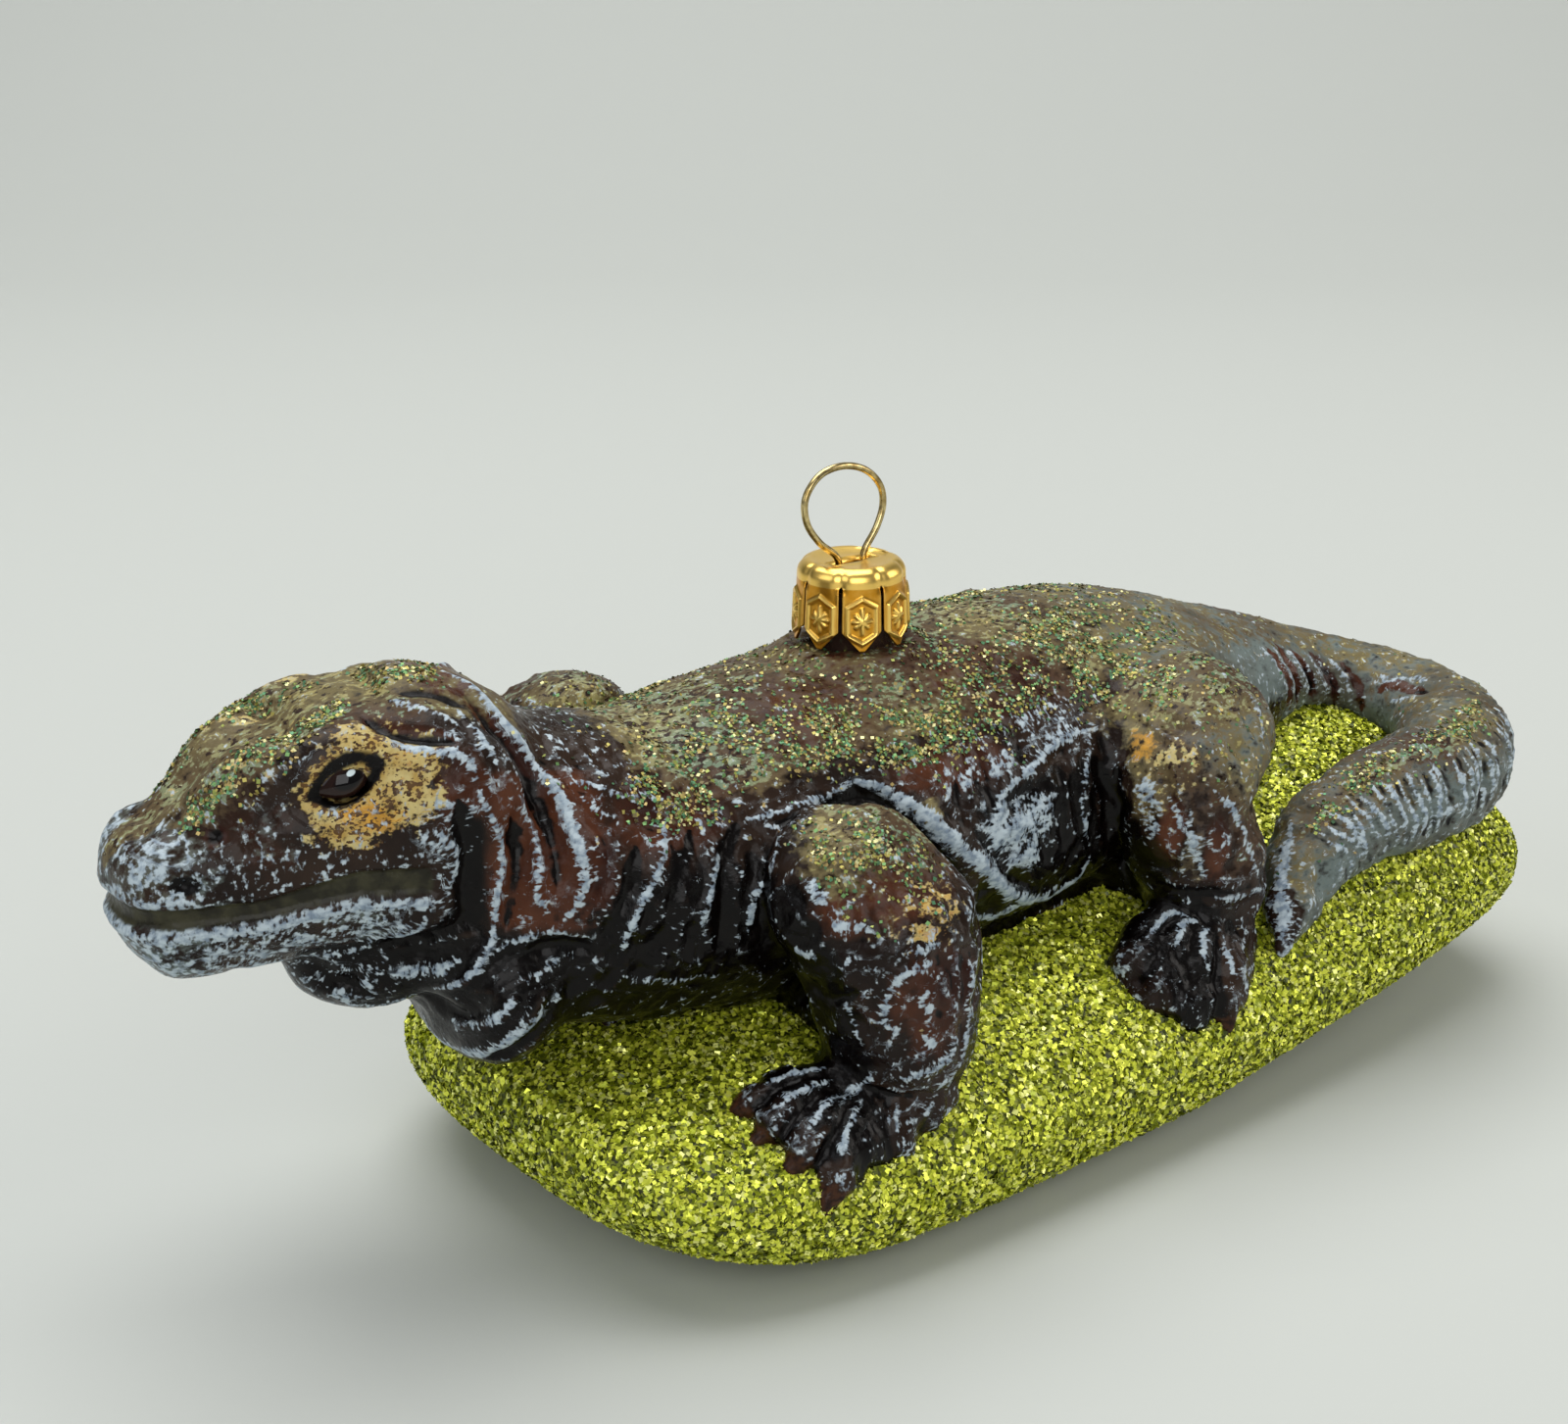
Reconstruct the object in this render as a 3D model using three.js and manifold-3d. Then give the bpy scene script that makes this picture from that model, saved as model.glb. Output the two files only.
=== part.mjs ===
// Blown-glass hanging ornament: a komodo dragon lying over a glittered mound, with a crown cap
// and a wire hanger. Millimetres, +Z up, the head towards -X and the dragon's left side towards -Y.
// The model is built round the axis of the cap and is set on its own bottom centre at the end.
import * as THREE from 'three';
import { mergeVertices } from 'three/addons/utils/BufferGeometryUtils.js';
import Module from 'manifold-3d';

const wasm = await Module();
wasm.setup();

// ---- driving dimensions ----
const GAP = 0.3;                 // clearance between pieces that touch
const SLIVER = 20;               // cubic millimetres: smaller scraps of a cut are dropped

const HEAD_YAW = -12;            // degrees the head is turned to the dragon's right
const HEAD_SEAT = [-40, 1.5, 0]; // where the head meets the neck
const LIP_FRONT = [-50, 40.4];   // the line of the lips, in the head's frame: x and height
const LIP_CORNER = [-12.5, 41.8];
const JAW_BACK = [-23.5, 33];    // where the jaw ends, in front of the throat pouch
const JAW_FOOT_Z = 20;
const EYE_AT = [-18.4, 7.9, 50.4];
const EYE_SIZE = [3.0, 2.2, 2.2];

const CAP_SEAT_Z = 50.6;         // lowest point of the cap's tabs
const CAP_RADIUS = 5.4;
const CAP_HEIGHT = 8.2;
const CAP_WALL = 0.5;
const CAP_TABS = 8;
const CAP_SLIT = 0.45;           // width of the slit between two tabs
const CAP_SLIT_TOP = 6.3;        // how far up from the tips the slits run
const CAP_TURN = 15;             // degrees the tabs are turned from the slot
const CAP_SLOT = [5.4, 1.3];     // slot in the top that the hanger passes through
const PIKE_RADIUS = 4.2;         // the open glass neck inside the cap
const PIKE_WALL = 0.9;
const PIKE_HEIGHT = 5.4;
const SEAT_Z = 48.6;             // floor of the seat in the back that the cap stands in

const WIRE_RADIUS = 0.36;
const ringRoute = [              // x and height above the cap: the ring hangs a little forward
  [1.9, -2.8], [1.5, -1.0], [1.8, 0.4], [3.3, 2.4], [4.1, 4.6], [3.6, 6.7], [1.6, 8.5],
  [-1.3, 9.3], [-4.2, 8.8], [-6.0, 6.8], [-5.8, 4.3], [-4.2, 2.1], [-2.1, 0.4], [-1.6, -1.0],
  [-1.9, -2.8],
];

const MOUND_FRONT = -43.8;
const MOUND_BACK = 84;
const MOUND_HALF_WIDTH = 32;
const MOUND_SKEW = [0.04, -0.13]; // how the front and the back end lean from straight across
const MOUND_CORNER = 4.7;        // how square the plan is: 2 would be an ellipse
const MOUND_UNDER = 3.0;         // how square the underside is
const MOUND_DROP = 10;           // from the rim to the underside
const TABLE_Z = -1.2;            // level of the flat that the mound rests on
const moundRise = [              // x, level of the rim, top of the dome
  [-43.8, 13.0, 17.4], [-30, 8.6, 19.4], [-10, 8.0, 20.5], [15, 8.0, 21.5], [35, 9.0, 23.6],
  [55, 12.0, 30.0], [70, 14.2, 32.4], [84, 14.0, 24.0],
];
const MOUND_DOME = [2.1, 1.6];   // how full the dome is across, at the front and at the back

// ---- solids and meshes ----
const vector = (point) => new THREE.Vector3(...point);

const radians = THREE.MathUtils.degToRad;

function bare(geometry) {
  geometry.deleteAttribute('normal');
  geometry.deleteAttribute('uv');
  return mergeVertices(geometry, 1e-5);
}

function solidOf(geometry) {
  const merged = bare(geometry);
  return new wasm.Manifold(new wasm.Mesh({
    numProp: 3,
    vertProperties: new Float32Array(merged.attributes.position.array),
    triVerts: new Uint32Array(merged.index.array),
  }));
}

// The same, with the faces turned over where the points were laid the other way round.
function facingOut(geometry) {
  const solid = solidOf(geometry);
  if (solid.volume() > 0) return solid;
  const flipped = bare(geometry.clone());
  const index = flipped.index.array;
  for (let i = 0; i < index.length; i += 3) {
    [index[i], index[i + 1]] = [index[i + 1], index[i]];
  }
  return solidOf(flipped);
}

function meshOf(name, solid, material) {
  const { vertProperties, triVerts } = solid.getMesh();
  const geometry = new THREE.BufferGeometry();
  geometry.setAttribute('position', new THREE.BufferAttribute(vertProperties, 3));
  geometry.setIndex(new THREE.BufferAttribute(triVerts, 1));
  geometry.computeVertexNormals();
  const mesh = new THREE.Mesh(geometry, material.clone());
  mesh.name = name;
  return mesh;
}

const joined = (solids) => solids.reduce((sum, solid) => sum.add(solid));

const rounded = (value, power) => Math.sign(value) * Math.abs(value) ** (2 / power);

function ball(at, sizes, turn = 0, detail = 8) {
  const geometry = new THREE.SphereGeometry(1, detail, Math.round(detail * 0.7));
  geometry.scale(...sizes);
  geometry.rotateZ(radians(turn));
  geometry.translate(...at);
  return solidOf(geometry);
}

function block(centre, size, turns = [0, 0, 0]) {
  const geometry = new THREE.BoxGeometry(...size);
  const [x, y, z] = turns.map((degrees) => radians(degrees));
  geometry.applyMatrix4(new THREE.Matrix4().makeRotationFromEuler(new THREE.Euler(x, y, z)));
  geometry.translate(...centre);
  return solidOf(geometry);
}

function upright(radius, height, bottom, sides) {
  const geometry = new THREE.CylinderGeometry(radius, radius, height, sides);
  geometry.rotateX(Math.PI / 2);
  geometry.translate(0, 0, bottom + height / 2);
  return solidOf(geometry);
}

// A thin flat blade through a point, square to the given direction, `reach` wide each way.
function blade(at, direction, reach) {
  const geometry = new THREE.BoxGeometry(2 * reach, 2 * reach, GAP);
  const turn = new THREE.Quaternion().setFromUnitVectors(
    new THREE.Vector3(0, 0, 1), vector(direction).normalize());
  geometry.applyQuaternion(turn);
  geometry.translate(...at);
  return solidOf(geometry);
}

const piecesOf = (solid) => solid.decompose().filter((piece) => piece.volume() > SLIVER);

// ---- lofted bodies ----
// A station is { at, side, up, down, square }: the middle of a section, its half width, its height
// above and below the middle, and how square it is (2 is an ellipse). Sections stand across the
// line through the stations, with `lean` pointing to their upper side, and both ends are rounded.
// `crowd` gathers the sections towards the ends.
function loft(stations, { around, along, grow = 0, lean = [0, 0, 1], crowd = 0.75 }) {
  const line = new THREE.CatmullRomCurve3(stations.map((station) => vector(station.at)));
  const sizes = new THREE.CatmullRomCurve3(
    stations.map((station) => new THREE.Vector3(station.side, station.up, station.down)));
  const squareness = stations.map((station) => station.square ?? 2);
  const total = line.getLength();
  const geometry = bare(new THREE.SphereGeometry(1, around, along));
  const points = geometry.attributes.position;
  for (let i = 0; i < points.count; i += 1) {
    const onSphere = new THREE.Vector3().fromBufferAttribute(points, i);
    const row = Math.acos(THREE.MathUtils.clamp(-onSphere.y, -1, 1)) / Math.PI;
    const t = row - (crowd * Math.sin(2 * Math.PI * row)) / (2 * Math.PI);
    const angle = Math.atan2(onSphere.z, onSphere.x);
    const middle = line.getPoint(t);
    const tangent = line.getTangent(t);
    const size = sizes.getPoint(t);
    const sideways = new THREE.Vector3().crossVectors(vector(lean), tangent).normalize();
    const upwards = new THREE.Vector3().crossVectors(tangent, sideways).normalize();
    const place = t * (stations.length - 1);
    const before = Math.min(Math.floor(place), stations.length - 2);
    const power = THREE.MathUtils.lerp(squareness[before], squareness[before + 1], place - before);
    const endRound = Math.max((size.x + size.y) / 2, 0.2);
    const close = Math.min((Math.min(t, 1 - t) * total) / endRound, 1);
    const swell = Math.sqrt(Math.max(1 - (1 - close) ** 2, 0));
    const across = rounded(Math.cos(angle), power);
    const over = rounded(Math.sin(angle), power);
    const height = over > 0 ? size.y : size.z;
    middle.addScaledVector(sideways, across * (size.x + grow) * swell);
    middle.addScaledVector(upwards, over * (height + grow) * swell);
    middle.addScaledVector(tangent, grow * (1 - swell) * Math.sign(t - 0.5));
    points.setXYZ(i, middle.x, middle.y, middle.z);
  }
  return facingOut(geometry);
}

// ---- neck, trunk and tail: one long body from the nape to the tip of the tail ----
const bodyLine = [
  { at: [-52, 3.5, 43.0], side: 9.5, up: 10.0, down: 12.0 },
  { at: [-45, 2.5, 39.5], side: 13.0, up: 12.5, down: 14.0 },
  { at: [-37, 1.0, 36.5], side: 14.5, up: 13.6, down: 14.8 },
  { at: [-28, 0.0, 34.5], side: 16.5, up: 13.8, down: 15.5 },
  { at: [-17, 0.0, 33.5], side: 18.5, up: 15.4, down: 16.0 },
  { at: [-4, 0.0, 33.0], side: 19.5, up: 16.6, down: 16.0 },
  { at: [10, 0.5, 33.0], side: 20.0, up: 17.2, down: 16.0 },
  { at: [24, 0.5, 33.5], side: 19.5, up: 16.0, down: 15.0 },
  { at: [36, 0.5, 34.0], side: 17.5, up: 14.2, down: 13.0 },
  { at: [48, 0.5, 34.0], side: 13.5, up: 10.6, down: 11.0 },
  { at: [59, 0.0, 33.2], side: 9.5, up: 7.4, down: 8.5 },
  { at: [67.5, -1.5, 31.8], side: 7.4, up: 5.9, down: 7.6 },
  { at: [74.5, -6, 30.4], side: 6.6, up: 5.0, down: 8.6 },
  { at: [76.5, -13.5, 29.6], side: 6.4, up: 4.9, down: 9.6 },
  { at: [73, -21, 29.0], side: 6.3, up: 5.3, down: 9.6 },
  { at: [66, -26, 28.6], side: 6.1, up: 5.6, down: 8.0 },
  { at: [58, -27, 28.0], side: 5.9, up: 5.5, down: 6.6 },
  { at: [51, -26.2, 27.0], side: 5.6, up: 5.2, down: 5.6 },
  { at: [45, -25.8, 25.4], side: 4.9, up: 4.6, down: 5.0 },
  { at: [40, -26.8, 23.0], side: 3.9, up: 3.6, down: 4.2 },
  { at: [36, -28.8, 20.2], side: 2.5, up: 2.4, down: 3.0 },
  { at: [32.8, -30.8, 17.6], side: 0.9, up: 0.9, down: 1.6 },
];
const bodyDetail = { around: 16, along: 40, crowd: 0.2 };

// ---- head, in its own frame: the snout towards -X from the seat on the neck ----
const headLine = [
  { at: [-37.5, 0, 40.6], side: 6.0, up: 5.4, down: 6.8, square: 2.4 },
  { at: [-34.5, 0, 41.0], side: 7.2, up: 5.5, down: 8.4, square: 2.6 },
  { at: [-30.5, 0, 41.6], side: 7.8, up: 5.2, down: 9.0, square: 2.6 },
  { at: [-26, 0, 42.6], side: 8.8, up: 7.4, down: 9.8, square: 2.5 },
  { at: [-20.5, 0, 43.8], side: 10.4, up: 10.4, down: 10.8, square: 2.4 },
  { at: [-14.5, 0, 44.6], side: 12.0, up: 11.6, down: 11.4, square: 2.3 },
  { at: [-8.5, 0, 44.6], side: 12.6, up: 12.2, down: 11.2, square: 2.2 },
  { at: [-3, 0, 44.0], side: 12.0, up: 11.8, down: 11.0 },
  { at: [3, 0, 43.0], side: 9.0, up: 9.0, down: 9.0 },
];

const headTurn = new THREE.Matrix4()
  .makeTranslation(...HEAD_SEAT)
  .multiply(new THREE.Matrix4().makeRotationZ(radians(HEAD_YAW)));

const inHead = (point) => vector(point).applyMatrix4(headTurn).toArray();

function headShape() {
  const stations = headLine.map((station) => ({ ...station, at: inHead(station.at) }));
  const pieces = [loft(stations, { around: 16, along: 13 })];
  for (const hand of [-1, 1]) {
    const brow = ball(inHead([-17.4, hand * 6.4, 51.9]), [5.6, 2.5, 2.0], HEAD_YAW, 10);
    const temple = ball(inHead([-8.5, hand * 8.8, 47.0]), [7.0, 3.6, 5.6], HEAD_YAW);
    const cheek = ball(inHead([-10.0, hand * 8.2, 39.0]), [8.0, 3.6, 4.8], HEAD_YAW);
    const nostril = ball(inHead([-33.2, hand * 4.2, 44.3]), [3.4, 2.4, 2.6], HEAD_YAW);
    pieces.push(brow, temple, cheek, nostril);
  }
  return joined(pieces);
}

function eyeBall(hand, grow = 0) {
  const [x, y, z] = EYE_AT;
  return ball(inHead([x, hand * y, z]), EYE_SIZE.map((size) => size + grow), HEAD_YAW, 10);
}

// The throat: a pouch under the jaw and two folds of skin round the front of the neck.
function throatFolds() {
  const pouch = ball(inHead([-14.5, 0, 32.0]), [8.5, 7.5, 6.2], HEAD_YAW, 10);
  const secondFold = ball([-47.0, 2, 31.4], [5.8, 11.5, 7.4], HEAD_YAW, 10);
  const lowFold = ball([-45.2, 1, 27.8], [6.2, 13.0, 8.6], HEAD_YAW, 10);
  return joined([pouch, secondFold, lowFold]);
}

// A thin cut along the lips to the corner of the mouth, then down in front of the pouch.
function jawCut() {
  const half = GAP / 2;
  const outline = new THREE.Shape();
  outline.moveTo(LIP_FRONT[0], LIP_FRONT[1] + half);
  outline.lineTo(LIP_CORNER[0] + GAP, LIP_CORNER[1] + half);
  outline.lineTo(JAW_BACK[0] + GAP, JAW_BACK[1] - half);
  outline.lineTo(JAW_BACK[0] + GAP, JAW_FOOT_Z);
  outline.lineTo(JAW_BACK[0], JAW_FOOT_Z);
  outline.lineTo(JAW_BACK[0], JAW_BACK[1] + half);
  outline.lineTo(LIP_CORNER[0] - 2 * GAP, LIP_CORNER[1] - half);
  outline.lineTo(LIP_FRONT[0], LIP_FRONT[1] - half);
  const width = 50;
  const geometry = new THREE.ExtrudeGeometry(outline, { depth: width, bevelEnabled: false });
  geometry.translate(0, 0, -width / 2);
  geometry.rotateX(Math.PI / 2);
  geometry.applyMatrix4(headTurn);
  return facingOut(geometry);
}

// ---- legs: each a column from inside the body down to the ankle, and a foot of five toes ----
// Points are for the right side; the left is their mirror image. `sole` is where the toes spread
// from, and every toe is given by the tip of its claw.
const frontLeg = {
  names: ['upper_arm', 'forearm', 'foot'],
  column: [
    { at: [-21, 9, 34.0], side: 8.0, up: 8.0, down: 8.0 },
    { at: [-18.5, 17, 35.0], side: 8.8, up: 8.8, down: 9.0 },
    { at: [-16, 22.6, 31.6], side: 8.4, up: 9.0, down: 9.4 },
    { at: [-15.4, 24.2, 25.5], side: 7.8, up: 8.2, down: 8.4 },
    { at: [-15.0, 24.6, 19.0], side: 6.4, up: 6.8, down: 6.6 },
    { at: [-14.8, 24.6, 13.5], side: 5.8, up: 5.8, down: 5.8 },
    { at: [-14.8, 24.6, 9.0], side: 5.0, up: 5.0, down: 5.0 },
  ],
  bend: { at: [-15.4, 24, 27.4], direction: [0.1, 0.25, 1] },
  ankle: { at: [-15, 24, 16.6], direction: [0.1, -0.1, 1] },
  sole: [-16.0, 25.0, 15.2],
  toes: [
    [-30.2, 17.4, 17.0], [-32.0, 20.6, 16.2], [-31.8, 23.8, 15.0], [-30.4, 26.6, 13.4],
    [-27.8, 29.2, 11.4],
  ],
};

const hindLeg = {
  names: ['thigh', 'shank', 'foot'],
  column: [
    { at: [38, 8, 35.0], side: 10.0, up: 10.0, down: 10.0 },
    { at: [32, 15.5, 37.0], side: 9.8, up: 10.2, down: 10.2 },
    { at: [27, 20.6, 35.6], side: 8.4, up: 8.6, down: 9.6 },
    { at: [26.6, 22.2, 30.0], side: 7.4, up: 7.6, down: 8.4 },
    { at: [28.6, 23.2, 24.0], side: 6.2, up: 6.4, down: 6.4 },
    { at: [29.2, 23.8, 18.5], side: 5.6, up: 5.8, down: 5.6 },
    { at: [29.0, 24.0, 13.0], side: 5.0, up: 5.0, down: 5.0 },
  ],
  bend: { at: [27, 22, 30.6], direction: [-0.25, 0.3, 1] },
  ankle: { at: [29.5, 24, 20.6], direction: [0.0, -0.1, 1] },
  sole: [27.6, 25.0, 18.6],
  toes: [
    [12.8, 24.2, 17.8], [14.0, 27.2, 16.4], [16.8, 29.2, 14.8], [20.2, 30.6, 13.2],
    [23.6, 31.4, 11.6],
  ],
};

// A stance says which side a leg is on, where it is moved to, and how far its upper stations are
// lifted, from the body outwards. The right front leg steps ahead with its shoulder up.
const stances = {
  left: {
    front: { hand: -1, shift: [0, 0, 0], rise: [] },
    hind: { hand: -1, shift: [0, 0, 0], rise: [] },
  },
  right: {
    front: { hand: 1, shift: [-5, -1, 0], rise: [4.2, 4.6, 2.6] },
    hind: { hand: 1, shift: [3, -0.5, 0], rise: [-1.5, -1.5, -1] },
  },
};

const inStance = (point, { hand, shift }) => [
  point[0] + shift[0], point[1] * hand + shift[1], point[2] + shift[2],
];

// One toe: thick at the sole, knuckled two thirds of the way out, ending in a claw that dips.
function toe(sole, tip) {
  const along = (share, lift) => {
    const [x, y, z] = sole.map((value, axis) => THREE.MathUtils.lerp(value, tip[axis], share));
    return [x, y, z + lift];
  };
  return loft([
    { at: along(-0.1, 0.6), side: 3.8, up: 4.0, down: 4.2 },
    { at: along(0.3, 0.4), side: 3.4, up: 3.2, down: 4.0 },
    { at: along(0.62, 0.4), side: 2.3, up: 2.1, down: 3.2 },
    { at: along(0.8, 0), side: 1.8, up: 1.5, down: 2.6 },
    { at: along(1, -1), side: 0.8, up: 0.7, down: 1.6 },
  ], { around: 6, along: 5 });
}

function wholeLeg(leg, stance) {
  const column = leg.column.map((station, index) => {
    const [x, y, z] = inStance(station.at, stance);
    return { ...station, at: [x, y, z + (stance.rise[index] ?? 0)] };
  });
  return joined([
    loft(column, { around: 12, along: 12, lean: [-1, 0, 0] }),
    ...leg.toes.map((tip) => toe(inStance(leg.sole, stance), inStance(tip, stance))),
  ]);
}

// The leg, cut clear of the body and the mound, parted at the elbow or knee and at the ankle, and
// given back from the top down.
function legPieces(leg, stance, clearance) {
  const cuts = [leg.bend, leg.ankle].map(({ at, direction: [x, y, z] }) => (
    blade(inStance(at, stance), [x, y * stance.hand, z], 20)));
  const parted = wholeLeg(leg, stance).subtract(joined([clearance, ...cuts]));
  const top = (solid) => solid.boundingBox().max[2];
  return piecesOf(parted).sort((a, b) => top(b) - top(a));
}

// ---- the mound: a rounded slab, square on plan, domed over and flat-bellied below ----
function moundShape(grow = 0) {
  const geometry = bare(new THREE.SphereGeometry(1, 24, 18));
  const points = geometry.attributes.position;
  const rises = new THREE.CatmullRomCurve3(moundRise.map(vector));
  const centre = (MOUND_FRONT + MOUND_BACK) / 2;
  const reach = (MOUND_BACK - MOUND_FRONT) / 2 + grow;
  for (let i = 0; i < points.count; i += 1) {
    const onSphere = new THREE.Vector3().fromBufferAttribute(points, i);
    const along = rounded(-onSphere.y, MOUND_CORNER);
    const swell = rounded(Math.sqrt(Math.max(1 - onSphere.y ** 2, 0)), MOUND_CORNER);
    const angle = Math.atan2(onSphere.z, onSphere.x);
    const rise = rises.getPoint((along + 1) / 2);
    const above = Math.sin(angle) > 0;
    const dome = THREE.MathUtils.lerp(...MOUND_DOME, (along + 1) / 2);
    const power = above ? dome : MOUND_UNDER;
    const height = above ? rise.z - rise.y : MOUND_DROP;
    const y = rounded(Math.cos(angle), power) * (MOUND_HALF_WIDTH + grow) * swell;
    const z = rise.y + rounded(Math.sin(angle), power) * (height + grow) * swell;
    const skew = THREE.MathUtils.lerp(...MOUND_SKEW, (along + 1) / 2);
    points.setXYZ(i, centre + along * reach + skew * y, y, z);
  }
  const table = block([0, 0, TABLE_Z - 10 - grow], [240, 120, 20]);
  return facingOut(geometry).subtract(table);
}

// ---- cap, glass neck and hanger ----
function capCrown() {
  const outer = CAP_RADIUS;
  const inner = CAP_RADIUS - CAP_WALL;
  const ceiling = CAP_HEIGHT - CAP_WALL;
  const profile = [
    [0, ceiling], [inner - 1.6, ceiling], [inner - 0.3, CAP_HEIGHT - 1.4], [inner, 0],
    [outer + 0.3, 0], [outer, CAP_HEIGHT - 1.6], [outer - 0.5, CAP_HEIGHT - 0.5],
    [outer - 1.4, CAP_HEIGHT], [0, CAP_HEIGHT],
  ];
  const outline = profile.map(([radius, height]) => new THREE.Vector2(radius, height));
  const shell = new THREE.LatheGeometry(outline, 20);
  shell.rotateX(Math.PI / 2);
  shell.translate(0, 0, CAP_SEAT_Z);
  const cuts = [block([0, 0, CAP_SEAT_Z + CAP_HEIGHT], [...CAP_SLOT, 4 * CAP_WALL])];
  for (let tab = 0; tab < CAP_TABS; tab += 1) {
    const turn = ((tab + 0.5) / CAP_TABS) * 360 + CAP_TURN;
    const [x, y] = [outer * Math.cos(radians(turn)), outer * Math.sin(radians(turn))];
    const notch = 1.9;
    cuts.push(block([x, y, CAP_SEAT_Z], [4, CAP_SLIT, 2 * CAP_SLIT_TOP], [0, 0, turn]));
    cuts.push(block([x, y, CAP_SEAT_Z - 0.4], [4, notch, notch], [45, 0, turn]));
  }
  return solidOf(shell).subtract(joined(cuts));
}

// The shallow round seat in the back that the cap stands in.
const capRoom = () => upright(CAP_RADIUS + 0.8, 10, SEAT_Z, 16);

function glassNeck() {
  const foot = SEAT_Z + GAP;
  const height = PIKE_HEIGHT + CAP_SEAT_Z - foot;
  const outer = upright(PIKE_RADIUS, height, foot, 18);
  const bore = upright(PIKE_RADIUS - PIKE_WALL, height + 2, foot - 1, 18);
  return outer.subtract(bore);
}

function hangerRing() {
  const top = CAP_SEAT_Z + CAP_HEIGHT;
  const route = new THREE.CatmullRomCurve3(
    ringRoute.map(([x, rise]) => new THREE.Vector3(x, 0, top + rise)));
  const section = new THREE.Shape();
  section.absarc(0, 0, WIRE_RADIUS, 0, 2 * Math.PI);
  return solidOf(new THREE.ExtrudeGeometry(section, {
    steps: 36, extrudePath: route, curveSegments: 2,
  }));
}

// ---- colours ----
const finish = (color, roughness, metalness) => (
  new THREE.MeshStandardMaterial({ color, roughness, metalness }));
const paintedHide = finish(0x4a3a34, 0.25, 0);
const brownEye = finish(0x1c100c, 0.05, 0);
const greenGlitter = finish(0x9aa62a, 0.6, 0.3);
const goldTin = finish(0xd9a02a, 0.25, 1);
const brassWire = finish(0xc9b06a, 0.25, 1);
const darkGlass = finish(0x2a1c18, 0.1, 0);

// ---- the whole thing ----
const group = new THREE.Group();
const add = (name, solid, material) => group.add(meshOf(name, solid, material));

const moundRoom = moundShape(GAP);

// Blades that part the long body; each reaches only across the length that it cuts.
const partings = joined([
  jawCut(),
  blade(inHead([-1, 0, 44]), [1, -0.2, 0.42], 30),
  blade([-28, 0, 34], [1, 0, 0], 30),
  blade([50, 0, 34], [1, 0, 0], 16),
  blade([74.3, -5.6, 30.4], [0.75, -0.66, 0], 9),
  blade([63, -26.6, 28.5], [-1, -0.15, 0], 8.5),
]);
const bodyParts = [
  ['head', inHead([-18, 0, 46])], ['lower_jaw', inHead([-26, 0, 37])], ['neck', [-38, 1, 36]],
  ['trunk', [5, 0, 33]], ['tail_base', [62, -1, 32]], ['tail_bend', [73, -18, 29]],
  ['tail_end', [48, -26, 26]],
];

function addBody() {
  const whole = joined([loft(bodyLine, bodyDetail), headShape(), throatFolds()]);
  const room = joined([moundRoom, eyeBall(-1, GAP), eyeBall(1, GAP), capRoom(), partings]);
  const lengths = piecesOf(whole.subtract(room));
  const centre = (solid) => {
    const { min, max } = solid.boundingBox();
    return vector(min).add(vector(max)).multiplyScalar(0.5);
  };
  for (const [name, near] of bodyParts) {
    const away = (solid) => centre(solid).distanceTo(vector(near));
    lengths.sort((a, b) => away(a) - away(b));
    add(name, lengths.shift(), paintedHide);
  }
}

function addLegs() {
  const room = joined([loft(bodyLine, { ...bodyDetail, grow: GAP }), moundRoom]);
  for (const [side, stance] of Object.entries(stances)) {
    for (const [which, leg] of [['front', frontLeg], ['hind', hindLeg]]) {
      const pieces = legPieces(leg, stance[which], room);
      leg.names.forEach((name, index) => {
        add(`${which}_${name}_${side}`, pieces[index], paintedHide);
      });
    }
  }
}

addBody();
addLegs();
add('eye_left', eyeBall(-1), brownEye);
add('eye_right', eyeBall(1), brownEye);
add('mound', moundShape(), greenGlitter);
add('cap_crown', capCrown(), goldTin);
add('glass_neck', glassNeck(), darkGlass);
add('hanger_ring', hangerRing(), brassWire);

const box = new THREE.Box3().setFromObject(group);
group.position.set(-(box.min.x + box.max.x) / 2, -(box.min.y + box.max.y) / 2, -box.min.z);

export default group;
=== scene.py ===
"""The looks of a hand-painted blown-glass komodo dragon ornament, laid out as an add-on.

All shapes are worked out in the maker's frame: millimetres, with the axis of the crown cap at
x = y = 0, the snout towards -X and the dragon's left side towards -Y.
"""

import math
import random

import bpy
import numpy as np
import openvdb
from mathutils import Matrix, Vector, noise
from mathutils.bvhtree import BVHTree


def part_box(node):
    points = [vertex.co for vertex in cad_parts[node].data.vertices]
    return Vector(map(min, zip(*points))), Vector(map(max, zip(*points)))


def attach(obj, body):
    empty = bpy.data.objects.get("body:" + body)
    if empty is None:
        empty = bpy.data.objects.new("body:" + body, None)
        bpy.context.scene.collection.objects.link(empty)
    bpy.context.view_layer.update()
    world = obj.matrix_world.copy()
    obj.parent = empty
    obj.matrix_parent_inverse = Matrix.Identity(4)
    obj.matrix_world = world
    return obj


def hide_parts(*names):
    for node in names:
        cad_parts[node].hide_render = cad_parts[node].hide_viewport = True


bl_info = {
    "name": "Komodo dragon glass ornament",
    "version": (1, 0, 0),
    "blender": (4, 5, 0),
    "location": "3D View > Sidebar > Ornament",
    "description": "Builds the painted glass, glitter, crown cap and hanger of a dragon ornament",
    "category": "Add Mesh",
}

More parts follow.
